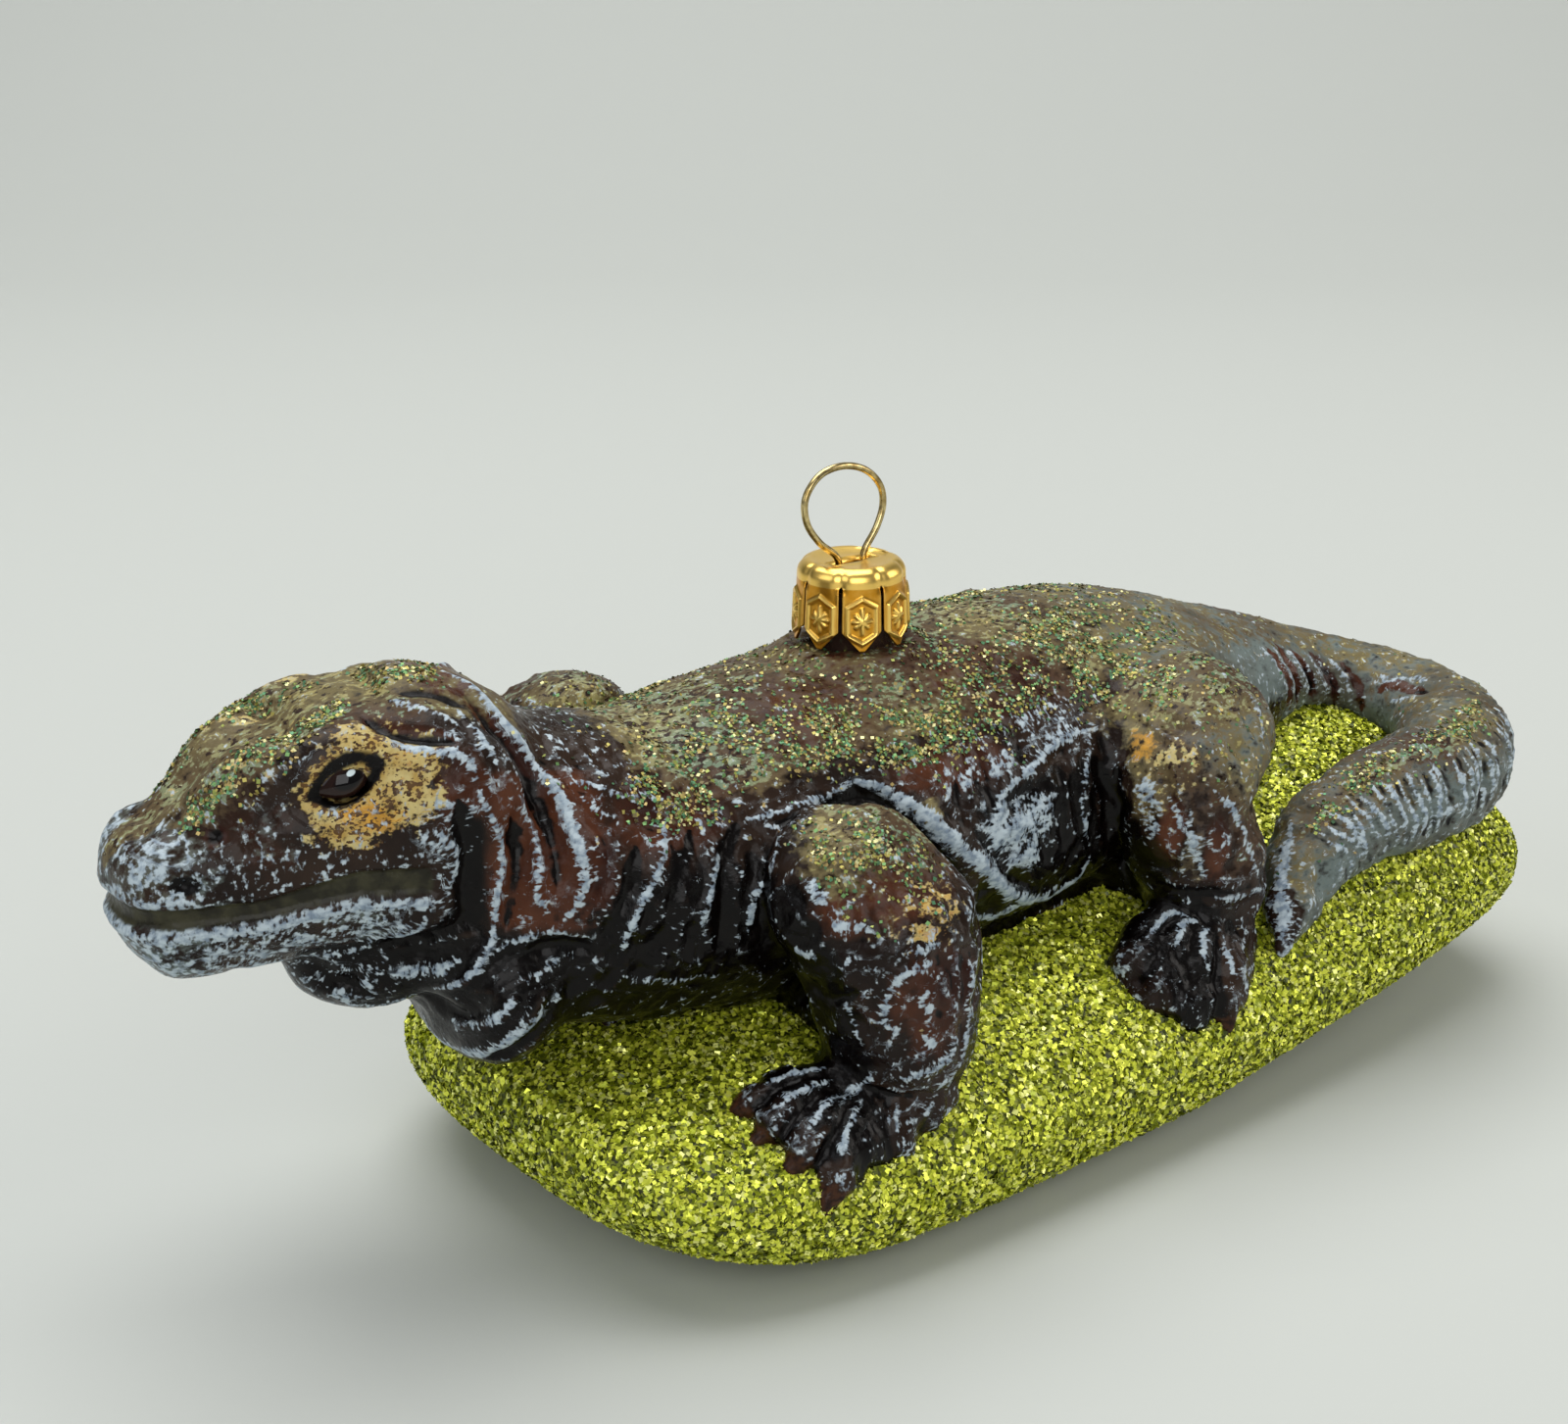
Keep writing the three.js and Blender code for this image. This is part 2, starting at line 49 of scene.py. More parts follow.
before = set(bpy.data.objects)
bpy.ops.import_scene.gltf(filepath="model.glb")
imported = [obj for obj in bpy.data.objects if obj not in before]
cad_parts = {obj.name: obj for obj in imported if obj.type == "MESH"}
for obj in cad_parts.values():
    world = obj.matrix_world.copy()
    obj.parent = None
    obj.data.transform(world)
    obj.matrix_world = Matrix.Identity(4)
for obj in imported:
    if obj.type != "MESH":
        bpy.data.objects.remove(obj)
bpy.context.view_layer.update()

MM = 0.001
BOTH = (1, -1)           # the left side and the right one
CAP_SEAT = 50.6          # level of the lowest tab tips of the cap in the maker's frame
CAP_HEIGHT = 8.2         # of the crown cap, from its tab tips up
SEAT_FLOOR = 50.4        # level of the painted seat in the back that the cap stands in
SWELLED = 0.3            # how much the solids are thickened before they are softened
BODY_AXIS = (0.5, 35.0)  # y and level of the line that turns are measured round on the body
HEAD_AXIS = 42.5         # level of that line on the head
LIMB_HOLLOW = 3.0        # walls this near a leg's middle line are of hollows inside it
RIDGE = 0.62             # how much of a raised stroke's height the lacquer leaves
PRESSED = 0.3            # how far the pattern of the crown cap stands out
VIEW_TURN = 40           # degrees that the camera and the paper are turned from facing +Y
SKIN_SEED, DUST_SEED, MOUND_SEED = 7, 11, 5

HEAD_SEAT = np.array([-40.0, 1.5, 0.0])  # start of the head's own frame
HEAD_YAW = math.radians(-12)             # turns the head to the dragon's right
EYE_AT = np.array([-18.5, 8.35, 50.95])  # middle of the right eye in the head's frame
EYE_SIZE = np.array([2.9, 1.4, 1.62])    # half an eye's length, thickness and height
EYE_TILT = math.radians(20)              # lowers its front corner

HEAD_NODES = ("head", "lower_jaw")
TORSO_NODES = HEAD_NODES + ("neck", "trunk", "tail_base", "tail_bend", "tail_end")
SIDES = ("left", "right")
LEG_NODES = tuple(f"{part}_{side}" for side in SIDES for part in (
    "front_upper_arm", "front_forearm", "hind_thigh", "hind_shank"))
FOOT_NODES = tuple(f"{part}_{side}" for side in SIDES for part in ("front_foot", "hind_foot"))

# The middle line of the tail, from the hips round the bend to the tip.
TAIL_LINE = np.array([
    (48, 0.5, 34), (59, 0, 33.2), (67.5, -1.5, 31.8), (74.5, -6, 30.4), (76.5, -13.5, 29.6),
    (73, -21, 29), (66, -26, 28.6), (58, -27, 28), (51, -26.2, 27), (45, -25.8, 25.4),
    (40, -26.8, 23), (36, -28.8, 20.2), (32.5, -31, 17),
])

# Where the toes of a right foot spread from and where their claws end, before its stance.
FRONT_SOLE = (-19.0, 24.6, 15.6)
FRONT_CLAWS = ((-31.2, 19.6, 16.2), (-32.2, 23.2, 15.1), (-30.8, 26.8, 13.3), (-28.6, 29.6, 10.4))
HIND_SOLE = (26.5, 24.6, 17.4)
HIND_CLAWS = ((16.2, 24.6, 16.2), (18.0, 26.8, 15.2), (20.8, 28.6, 13.6), (24.2, 31.0, 11.2))
# How far each leg is moved from there: 1 is the left one and -1 the right.
STANCE = {("front", 1): (0, 0, 0), ("front", -1): (-5, -1, 0),
          ("hind", 1): (0, 0, 0), ("hind", -1): (3, -0.5, 0)}
# The toes of each foot: leg, sole, claws, how high they arch, how stout they are, and the least
# radius of all but the last one.
TOES = (("front", FRONT_SOLE, FRONT_CLAWS, 0.9, 1.0, 0.0),
        ("hind", HIND_SOLE, HIND_CLAWS, 2.4, 1.2, 1.3))
# The middle line of a right leg before its stance, from the foot to the top.
LEG_AXES = {"front": ((-15, 24, 12), (-18, 18, 38)), "hind": ((29, 24, 14), (30, 16, 40))}


def maker_origin():
    """The foot of the cap's axis, in metres in the frame."""
    low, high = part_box("cap_crown")
    return np.array([(low.x + high.x) / 2, (low.y + high.y) / 2, low.z - CAP_SEAT * MM])


ORIGIN = maker_origin()


# ---- sizes and colours a user would change ----
class OrnamentSizes(bpy.types.PropertyGroup):
    """Sizes of the skin and the glitter."""
    skin_cell: bpy.props.FloatProperty(
        name="Skin cell", description="Spacing of the skin's mesh, in millimetres",
        default=0.4, min=0.25, max=1.5)
    relief: bpy.props.FloatProperty(
        name="Relief", description="How strongly folds and grooves stand out",
        default=1.0, min=0.0, max=2.0, subtype="FACTOR")
    flake: bpy.props.FloatProperty(
        name="Mound flake", description="Width of a glitter flake on the mound, in millimetres",
        default=0.43, min=0.1, max=2.0)
    flakes: bpy.props.IntProperty(
        name="Mound flakes", description="Number of glitter flakes on the mound",
        default=190000, min=100, max=400000)
    dust: bpy.props.FloatProperty(
        name="Body flake", description="Width of a glitter flake on the dragon, in millimetres",
        default=0.29, min=0.1, max=2.0)
    dusting: bpy.props.IntProperty(
        name="Body flakes", description="Number of glitter flakes on the dragon",
        default=14000, min=10, max=90000)


class OrnamentColours(bpy.types.PropertyGroup):
    """Paints, as sRGB hex values."""
    umber: bpy.props.StringProperty(
        name="Umber", description="Dark first coat, sRGB hex", default="#1a110d")
    russet: bpy.props.StringProperty(
        name="Russet", description="Red-brown lacquer, sRGB hex", default="#54301f")
    moss: bpy.props.StringProperty(
        name="Moss", description="Grey-olive of the back, sRGB hex", default="#6f6443")
    ochre: bpy.props.StringProperty(
        name="Ochre", description="Yellow round the eye, sRGB hex", default="#ab8d4a")
    frost: bpy.props.StringProperty(
        name="Frost", description="Pale dry-brushed paint, sRGB hex", default="#7c8b9a")
    glitter: bpy.props.StringProperty(
        name="Glitter", description="Chartreuse glitter of the mound, sRGB hex",
        default="#d8df45")
    gold: bpy.props.StringProperty(
        name="Gold", description="Crown cap, sRGB hex", default="#ffd470")
    brass: bpy.props.StringProperty(
        name="Brass", description="Hanger wire, sRGB hex", default="#d9c48c")


def sizes():
    return bpy.context.scene.ornament_sizes


def colours():
    return bpy.context.scene.ornament_colours


def linear(text):
    """An sRGB hex value as linear red, green, blue and a full alpha."""
    channels = [int(text[i:i + 2], 16) / 255 for i in (1, 3, 5)]
    return tuple(c / 12.92 if c <= 0.04045 else ((c + 0.055) / 1.055) ** 2.4
                 for c in channels) + (1.0,)


# ---- small helpers ----
def smoothstep(low, high, value):
    """0 at `low`, 1 at `high` and smooth between them; `low` may be the larger."""
    share = np.clip((value - low) / (high - low), 0, 1)
    return share * share * (3 - 2 * share)


def curve_through(points, step):
    """Points along a smooth line through the given ones, about `step` apart."""
    points = np.asarray(points, float)
    padded = np.vstack([2 * points[0] - points[1], points, 2 * points[-1] - points[-2]])
    found = []
    for i in range(len(points) - 1):
        a, b, c, d = padded[i:i + 4]
        count = max(2, int(np.linalg.norm(c - b) / step))
        for t in np.arange(count) / count:
            found.append(0.5 * (2 * b + (c - a) * t + (2 * a - 5 * b + 4 * c - d) * t ** 2
                                + (3 * b - a - 3 * c + d) * t ** 3))
    found.append(points[-1])
    return np.array(found)


def from_head(points):
    """Points of the head's own frame in the maker's frame."""
    points = np.asarray(points, float)
    c, s = math.cos(HEAD_YAW), math.sin(HEAD_YAW)
    x, y, z = points[..., 0], points[..., 1], points[..., 2]
    return np.stack([c * x - s * y, s * x + c * y, z], -1) + HEAD_SEAT


def to_head(points):
    """Points of the maker's frame in the head's own frame."""
    points = np.asarray(points, float) - HEAD_SEAT
    c, s = math.cos(HEAD_YAW), math.sin(HEAD_YAW)
    x, y, z = points[..., 0], points[..., 1], points[..., 2]
    return np.stack([c * x + s * y, -s * x + c * y, z], -1)


def stand_at(point, leg, hand):
    """A point of a right leg moved to the leg's own side and stance; hand is 1 on the left."""
    x, y, z = point
    dx, dy, dz = STANCE[leg, hand]
    return np.array([x + dx, -hand * y + dy, z + dz], float)


def mesh_object(name, points, faces):
    """A mesh object from points in the maker's millimetres."""
    mesh = bpy.data.meshes.new(name)
    mesh.from_pydata((np.asarray(points) * MM + ORIGIN).tolist(), [], faces)
    mesh.validate()
    mesh.polygons.foreach_set("use_smooth", np.ones(len(mesh.polygons), bool))
    mesh.update()
    made = bpy.data.objects.new(name, mesh)
    bpy.context.scene.collection.objects.link(made)
    return made


def add_attribute(made, name, values):
    """Stores a number or a vector on each point of a piece, for its material."""
    kind = "FLOAT" if values.ndim == 1 else "FLOAT_VECTOR"
    field = "value" if values.ndim == 1 else "vector"
    layer = made.data.attributes.new(name, kind, "POINT")
    layer.data.foreach_set(field, values.astype(np.float32).ravel())


def settle(made, slot, *nodes):
    """A finished piece rides on the body and stands for its nodes, which it hides; `slot` is not used."""
    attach(made, "root")
    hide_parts(*nodes)


def node(tree, kind, links=None, **settings):
    """Adds a shader node with its settings, its socket values and its links."""
    made = tree.nodes.new(kind)
    for name, value in settings.items():
        setattr(made, name, value)
    for socket, source in (links or {}).items():
        if isinstance(source, bpy.types.NodeSocket):
            tree.links.new(source, made.inputs[socket])
        else:
            made.inputs[socket].default_value = source
    return made


def new_material(name):
    """A material without nodes, and its node tree."""
    material = bpy.data.materials.new(name)
    material.use_nodes = True
    material.node_tree.nodes.clear()
    return material, material.node_tree


def in_millimetres(tree):
    """The place on the piece in millimetres, for patterns of a real size."""
    spots = node(tree, "ShaderNodeTexCoord")
    return node(tree, "ShaderNodeVectorMath", {0: spots.outputs["Object"], 1: (1000, 1000, 1000)},
                operation="MULTIPLY").outputs[0]


# ---- fields: distance to the solids on a regular grid ----
class Field:
    """Signed distances, in millimetres, on a regular grid over a box."""

    def __init__(self, low, high, cell):
        self.cell = cell
        self.start = np.floor(np.asarray(low) / cell).astype(int)
        self.shape = tuple(np.ceil((np.asarray(high) - low) / cell).astype(int) + 1)
        self.transform = openvdb.createLinearTransform(voxelSize=cell)

    def of_nodes(self, names, band):
        """Distance to the joint surface of some nodes, right within `band` millimetres."""
        points, faces, first = [], [], 0
        for name in names:
            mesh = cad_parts[name].data
            own = np.empty(len(mesh.vertices) * 3, np.float32)
            mesh.vertices.foreach_get("co", own)
            mesh.calc_loop_triangles()
            triangles = np.empty(len(mesh.loop_triangles) * 3, np.int32)
            mesh.loop_triangles.foreach_get("vertices", triangles)
            points.append((own.reshape(-1, 3) - ORIGIN) / MM)
            faces.append(triangles.reshape(-1, 3) + first)
            first += len(mesh.vertices)
        grid = openvdb.FloatGrid.createLevelSetFromPolygons(
            np.vstack(points).astype(np.float32), triangles=np.vstack(faces).astype(np.uint32),
            transform=self.transform, halfWidth=band / self.cell)
        values = np.empty(self.shape, np.float32)
        grid.copyToArray(values, ijk=tuple(int(i) for i in self.start))
        return values

    def softened_nodes(self, names, band, blur, grow):
        """The joint surface of some nodes, blurred over `blur` millimetres and moved out by
        `grow`."""
        return softened(self.of_nodes(names, band) - SWELLED, blur / self.cell) - grow

    def axes(self):
        """The x, y and z of the grid's planes, shaped to be used together."""
        lines = [(self.start[i] + np.arange(self.shape[i])) * self.cell for i in range(3)]
        return (lines[0][:, None, None].astype(np.float32),
                lines[1][None, :, None].astype(np.float32),
                lines[2][None, None, :].astype(np.float32))

    def around(self, low, high):
        """The slices of the part of the grid that holds a box."""
        first = np.floor(np.asarray(low) / self.cell).astype(int) - self.start
        last = np.ceil(np.asarray(high) / self.cell).astype(int) - self.start + 1
        return tuple(slice(max(a, 0), max(min(b, n), 0)) for a, b, n in zip(
            first, last, self.shape))

    def surface(self, values, whole=False):
        """The points and four-sided faces of the surface at distance 0: its largest part, or
        the whole of it."""
        grid = openvdb.FloatGrid(self.cell * 8)
        grid.transform = self.transform
        grid.copyFromArray(values.astype(np.float32), ijk=tuple(int(i) for i in self.start))
        points, quads = grid.convertToQuads(isovalue=0.0)
        points, quads = np.asarray(points, float), np.asarray(quads, int)
        return (points, quads) if whole else keep_largest(points, quads)


def keep_largest(points, quads):
    """Drops everything that isn't joined to the largest surface."""
    label = np.arange(len(points))
    while True:
        least = label[quads].min(1)
        fresh = label.copy()
        for corner in range(4):
            np.minimum.at(fresh, quads[:, corner], least)
        fresh = fresh[fresh]
        if np.array_equal(fresh, label):
            break
        label = fresh
    kept = label == np.bincount(label).argmax()
    number = np.cumsum(kept) - 1
    return points[kept], number[quads[kept[quads[:, 0]]]]


def softened(values, sigma):
    """The field blurred by a bell of `sigma` cells."""
    reach = int(math.ceil(2.5 * sigma))
    weights = np.exp(-0.5 * (np.arange(-reach, reach + 1) / sigma) ** 2)
    weights /= weights.sum()
    for axis in range(3):
        pad = [(0, 0)] * 3
        pad[axis] = (reach, reach)
        wide = np.pad(values, pad, mode="edge")
        values = np.zeros_like(values)
        for k, weight in enumerate(weights):
            part = [slice(None)] * 3
            part[axis] = slice(k, k + values.shape[axis])
            values += np.float32(weight) * wide[tuple(part)]
    return values


def joined(a, b, blend):
    """Union of two fields with a crease of radius `blend`."""
    share = np.clip(0.5 + 0.5 * (b - a) / blend, 0, 1)
    return b + (a - b) * share - blend * share * (1 - share)


def finer(values, shape):
    """A field of half as many cells each way brought to the fine grid."""
    for axis in range(3):
        n = shape[axis]
        place = np.arange(n) / 2
        low = np.minimum(place.astype(int), values.shape[axis] - 1)
        high = np.minimum(low + 1, values.shape[axis] - 1)
        size = [1, 1, 1]
        size[axis] = n
        share = (place - low).reshape(size).astype(np.float32)
        values = np.take(values, low, axis) * (1 - share) + np.take(values, high, axis) * share
    return values


def chain(field, values, middles, radii):
    """Distance to a chain of rounded cones, and the part of the grid round it."""
    middles = np.asarray(middles, float)
    margin, far = 3.5, 9.0
    reach = max(radii) + margin
    part = field.around(middles.min(0) - reach, middles.max(0) + reach)
    x, y, z = field.axes()
    px, py, pz = x[part[0]], y[:, part[1]], z[:, :, part[2]]
    gaps = np.full(values[part].shape, far, np.float32)
    for a, b, ra, rb in zip(middles[:-1], middles[1:], radii[:-1], radii[1:]):
        line = b - a
        share = np.clip(((px - a[0]) * line[0] + (py - a[1]) * line[1] + (pz - a[2]) * line[2])
                        / (line @ line), 0, 1)
        gap = np.sqrt((px - a[0] - share * line[0]) ** 2 + (py - a[1] - share * line[1]) ** 2
                      + (pz - a[2] - share * line[2]) ** 2)
        gaps = np.minimum(gaps, gap - (ra + (rb - ra) * share))
    return part, gaps


def add_chain(field, values, middles, radii, blend):
    """Models a chain of rounded cones onto a form, with a crease of radius `blend`."""
    part, gaps = chain(field, values, middles, radii)
    values[part] = joined(values[part], gaps, blend)


def carve_chain(field, values, middles, radii, blend):
    """Cuts the chain out of a form."""
    part, gaps = chain(field, values, middles, radii)
    values[part] = -joined(-values[part], gaps, blend)


def sunk(values, cells):
    """A field drawn straight down by a number of cells."""
    low = values.copy()
    for steps in range(1, cells):
        low[:, :, :-steps] = np.minimum(low[:, :, :-steps], values[:, :, steps:])
    return low


def toe_line(sole, claw, rise, shares):
    """Points along a toe's middle line, at shares of its length."""
    middles = sole + (claw - sole) * shares[:, None]
    middles[:, 2] += rise * np.sin(np.pi * shares ** 1.3) - 0.5 * shares ** 4
    return middles


def toe_girth(shares):
    """Radius along a toe: thick to the knuckle, then the claw."""
    knuckle = 0.3 * np.exp(-((shares - 0.6) / 0.12) ** 2)
    return np.interp(shares, [0.1, 0.5, 0.78, 0.85, 1.0], [2.6, 2.3, 2.1, 1.6, 0.45]) + knuckle


def add_toe(field, values, sole, claw, rise, stout, least):
    """One toe: a knuckled cone from the sole to the claw, which dips and comes to a tip."""
    shares = np.linspace(0.1, 1.0, 14)
    girths = np.maximum(toe_girth(shares) * stout, least)
    add_chain(field, values, toe_line(sole, claw, rise, shares), girths, 0.8 * stout)


def add_feet(field, feet):
    """Toes, pads and ankles of all four feet."""
    pads = (
        ("front", ((-23.6, 26.6, 12.2), (-19.0, 26.6, 13.0), (-14.4, 25.2, 15.0),
                   (-12.4, 23.2, 18.5), (-13.4, 22.0, 22.5)), (2.6, 3.6, 4.2, 4.4, 4.6)),
        ("hind", ((24.4, 27.4, 13.8), (27.2, 26.2, 15.6), (28.6, 24.6, 18.2),
                  (30.0, 22.6, 21.6), (31.2, 21.4, 25.0)), (3.0, 4.0, 4.4, 4.5, 4.8)),
        ("hind", ((18.0, 24.2, 17.6), (18.2, 26.4, 15.6), (20.8, 28.4, 14.0)), (2.8, 3.0, 2.8)),
        ("hind", ((20.6, 24.2, 19.2), (25.0, 24.4, 20.0)), (3.0, 3.6)),
    )
    fine_tip = 0.3
    for hand in BOTH:
        for leg, sole, claws, rise, stout, blunt in TOES:
            for claw in claws:
                least = fine_tip if claw is claws[-1] else blunt
                add_toe(field, feet, stand_at(sole, leg, hand), stand_at(claw, leg, hand), rise,
                        stout, least)
        for leg, line, girths in pads:
            add_chain(field, feet, [stand_at(spot, leg, hand) for spot in line], girths, 1.6)


def add_webs(field, whole):
    """The glass between belly and legs: it fills each armpit and groin down to the mound."""
    for hand in BOTH:
        for leg, line, girths in (
            ("front", ((-13.6, 4, 21.5), (-13.2, 11, 20.5), (-14.2, 17, 20)), (4.4, 4.4, 4.2)),
            ("front", ((-13.0, 7, 28), (-13.0, 13, 27.5), (-14.0, 18, 27)), (5.0, 4.6, 3.8)),
            ("hind", ((25.5, 6, 24.5), (27.4, 13, 23.5), (30.0, 19, 22.5)), (4.4, 4.6, 4.4)),
            ("hind", ((26.5, 8, 30), (28.5, 14, 29.5), (30.5, 18, 28.5)), (4.6, 4.4, 4.0)),
        ):
            add_chain(field, whole, [stand_at(spot, leg, hand) for spot in line], girths, 1.6)


def add_brows(field, torso):
    """The brow over each eye, which juts out above the steep step down to the snout."""
    for hand in BOTH:
        for line, girths in (
            (((-26.0, 4.0, 49.6), (-24.0, 5.2, 51.1), (-20.0, 6.3, 52.1), (-15.5, 7.0, 52.3)),
             (2.5, 2.5, 2.4, 1.9)),
            (((-30.5, 2.2, 46.2), (-27.0, 3.0, 49.2)), (2.2, 2.6)),
            (((-13.5, 7.6, 52.2), (-10.0, 8.6, 51.6), (-6.5, 9.0, 50.4)), (1.6, 1.9, 1.7)),
        ):
            add_chain(field, torso, from_head(np.array(line) * (1, -hand, 1)), girths, 2.0)


def tail_tip(field, torso):
    """Cuts the blunt end of the tail down to a fine tip."""
    carve_chain(field, torso, [(31.4, -31.6, 15.6), (32.6, -30.9, 17.0)], (3.4, 2.6), 1.2)
    line = [(40, -26.8, 23), (36.6, -28.5, 20.6), (34.0, -30.0, 18.6), (32.4, -30.9, 17.0)]
    add_chain(field, torso, line, (2.7, 2.1, 1.3, 0.35), 1.2)


def leg_field(field):
    """The legs and feet together, with the notch over each hock."""
    legs = field.softened_nodes(LEG_NODES, 3.0, 1.4, -0.05)
    feet = field.softened_nodes(FOOT_NODES, 3.0, 0.9, -1.1)
    add_feet(field, feet)
    for hand in BOTH:
        notch = [stand_at(spot, "hind", hand) for spot in (
            (39.5, 25.5, 34.2), (34.4, 28.4, 32.5), (29.4, 31.6, 31.2))]
        carve_chain(field, legs, notch, (3.2, 3.6, 2.8), 1.8)
    return joined(legs, feet, 1.6)


def belly_fill(field, torso):
    """The torso drawn down onto the mound, narrow under the chest and wide under the belly."""
    x, y, z = field.axes()
    middle, reach, drop = 10, 42, 4.5
    half = np.interp(x, [-32, -22, -15, -6, 30], [2.0, 3.0, 10.0, 14.0, 14.0]).astype(np.float32)
    inside = np.maximum(np.abs(x - middle) - reach, np.abs(y - BODY_AXIS[0]) - half)
    return np.maximum(sunk(torso, int(drop / field.cell)), inside)


def cap_seat(field, values):
    """Raises the back to a low swelling under the cap and cuts a shallow round seat in it."""
    x, y, z = field.axes()
    away = np.sqrt(x ** 2 + y ** 2)
    flat, shoulder, rounding, foot = 4.6, 48.6, 1.8, 44
    swelling = np.sqrt(np.maximum(away - flat, 0) ** 2 + np.maximum(z - shoulder, 0) ** 2) - rounding
    values = joined(values, np.maximum(swelling, foot - z), 3.5)
    seat_radius = 5.7
    seat = np.maximum(away - seat_radius, SEAT_FLOOR - 0.1 - z)
    return -joined(-values, seat, 1.2)


class DragonShape:
    """The bare form of the skin, before any folds: one surface over all the flesh nodes."""

    def __init__(self):
        cell = sizes().skin_cell
        names = TORSO_NODES + LEG_NODES + FOOT_NODES
        boxes = [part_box(name) for name in names]
        margin = 4
        low = (np.min([list(b[0]) for b in boxes], 0) - ORIGIN) / MM - margin
        high = (np.max([list(b[1]) for b in boxes], 0) - ORIGIN) / MM + margin
        fine = Field(low, high, cell)
        coarse = Field(fine.start * cell, high, 2 * cell)
        coarse.start = fine.start // 2
        fine.start = coarse.start * 2
        x, y, z = fine.axes()
        torso = fine.softened_nodes(TORSO_NODES, 3.0, 1.0, -0.05)
        # The barrel of the trunk is blurred more than the head and tail, so it comes out smooth.
        barrel = finer(coarse.softened_nodes(TORSO_NODES, 8.0, 2.4, 0.1), fine.shape)
        on_trunk = (smoothstep(-33, -25, x) * (1 - smoothstep(46, 56, x))
                    * smoothstep(-21.5, -19.5, y + 0 * x)).astype(np.float32)
        torso = torso * (1 - on_trunk) + barrel * on_trunk
        add_brows(fine, torso)
        # A loose pouch hangs under the neck, towards the left.
        pouch = ((-46.5, -7, 28.5), (-42, -6, 28.5), (-36, -7, 29))
        add_chain(fine, torso, pouch, (3.2, 4.2, 5.0), 3.0)
        tail_tip(fine, torso)
        legs = leg_field(fine)
        # The thighs run into the back in a wide soft crease, the rest of the legs in a tight one.
        blend = 0.9 + 3.0 * smoothstep(33, 41, z) * smoothstep(14, 24, x)
        whole = joined(torso, legs, blend.astype(np.float32))
        trunk = np.minimum(torso, belly_fill(fine, torso))
        whole = np.minimum(whole, trunk)
        add_webs(fine, whole)
        # The skin goes on down inside the mound, so that no gap shows between them.
        mound, depth, cover = fine.of_nodes(("mound",), 2.0), 3, 0.25
        whole = np.minimum(whole, np.maximum(sunk(whole, int(depth / cell)), mound + cover))
        whole = cap_seat(fine, whole)
        self.points, self.quads = fine.surface(whole)
        self.torso = BVHTree.FromPolygons(*[a.tolist() for a in fine.surface(trunk)])
        place = np.rint(self.points / cell).astype(int) - fine.start
        self.on_torso = smoothstep(1.6, 0.7, torso[place[:, 0], place[:, 1], place[:, 2]])
        self.limbs = BVHTree.FromPolygons(*[a.tolist() for a in fine.surface(legs, whole=True)])


# ---- places on the skin ----
def axis_ray(place, along, turn, hand):
    """A line from the middle of a part out to its skin. `along` is the place on the part's axis
    and `turn` the degrees round it: from the top towards the given side on the head, body and
    tail, and from the front outwards on a leg, where `along` is a height."""
    c, s = math.cos(math.radians(turn)), math.sin(math.radians(turn))
    if place == "head":
        start = from_head((along, 0, HEAD_AXIS))
        return start, from_head((along, -s * hand, HEAD_AXIS + c)) - start
    if place == "body":
        return np.array([along, *BODY_AXIS]), np.array([0, -s * hand, c])
    if place == "tail":
        steps = np.linalg.norm(np.diff(TAIL_LINE, axis=0), axis=1)
        gone = np.concatenate([[0], np.cumsum(steps)])
        start = np.array([np.interp(along, gone, TAIL_LINE[:, i]) for i in range(3)])
        i = min(int(np.searchsorted(gone, along, "right")) - 1, len(steps) - 1)
        tangent = (TAIL_LINE[i + 1] - TAIL_LINE[i]) / steps[i]
        side = np.cross((0, 0, 1), tangent)
        side /= np.linalg.norm(side)
        over = np.cross(tangent, side)
        return start, over * c - side * s
    foot, top = LEG_AXES[place]
    share = (along - foot[2]) / (top[2] - foot[2])
    middle = [a + (b - a) * share for a, b in zip(foot, top)]
    return stand_at(middle, place, hand), np.array([-c, -s * hand, 0])


def leg_turn(points, place, hand):
    """Degrees round a leg from the front outwards, and the distance from its middle line."""
    foot, top = LEG_AXES[place]
    share = (points[:, 2] - foot[2]) / (top[2] - foot[2])
    dx, dy, _ = STANCE[place, hand]
    across = points[:, 0] - (foot[0] + (top[0] - foot[0]) * share + dx)
    out = -hand * (points[:, 1] - dy) - (foot[1] + (top[1] - foot[1]) * share)
    return np.degrees(np.arctan2(out, -across)), np.hypot(across, out)


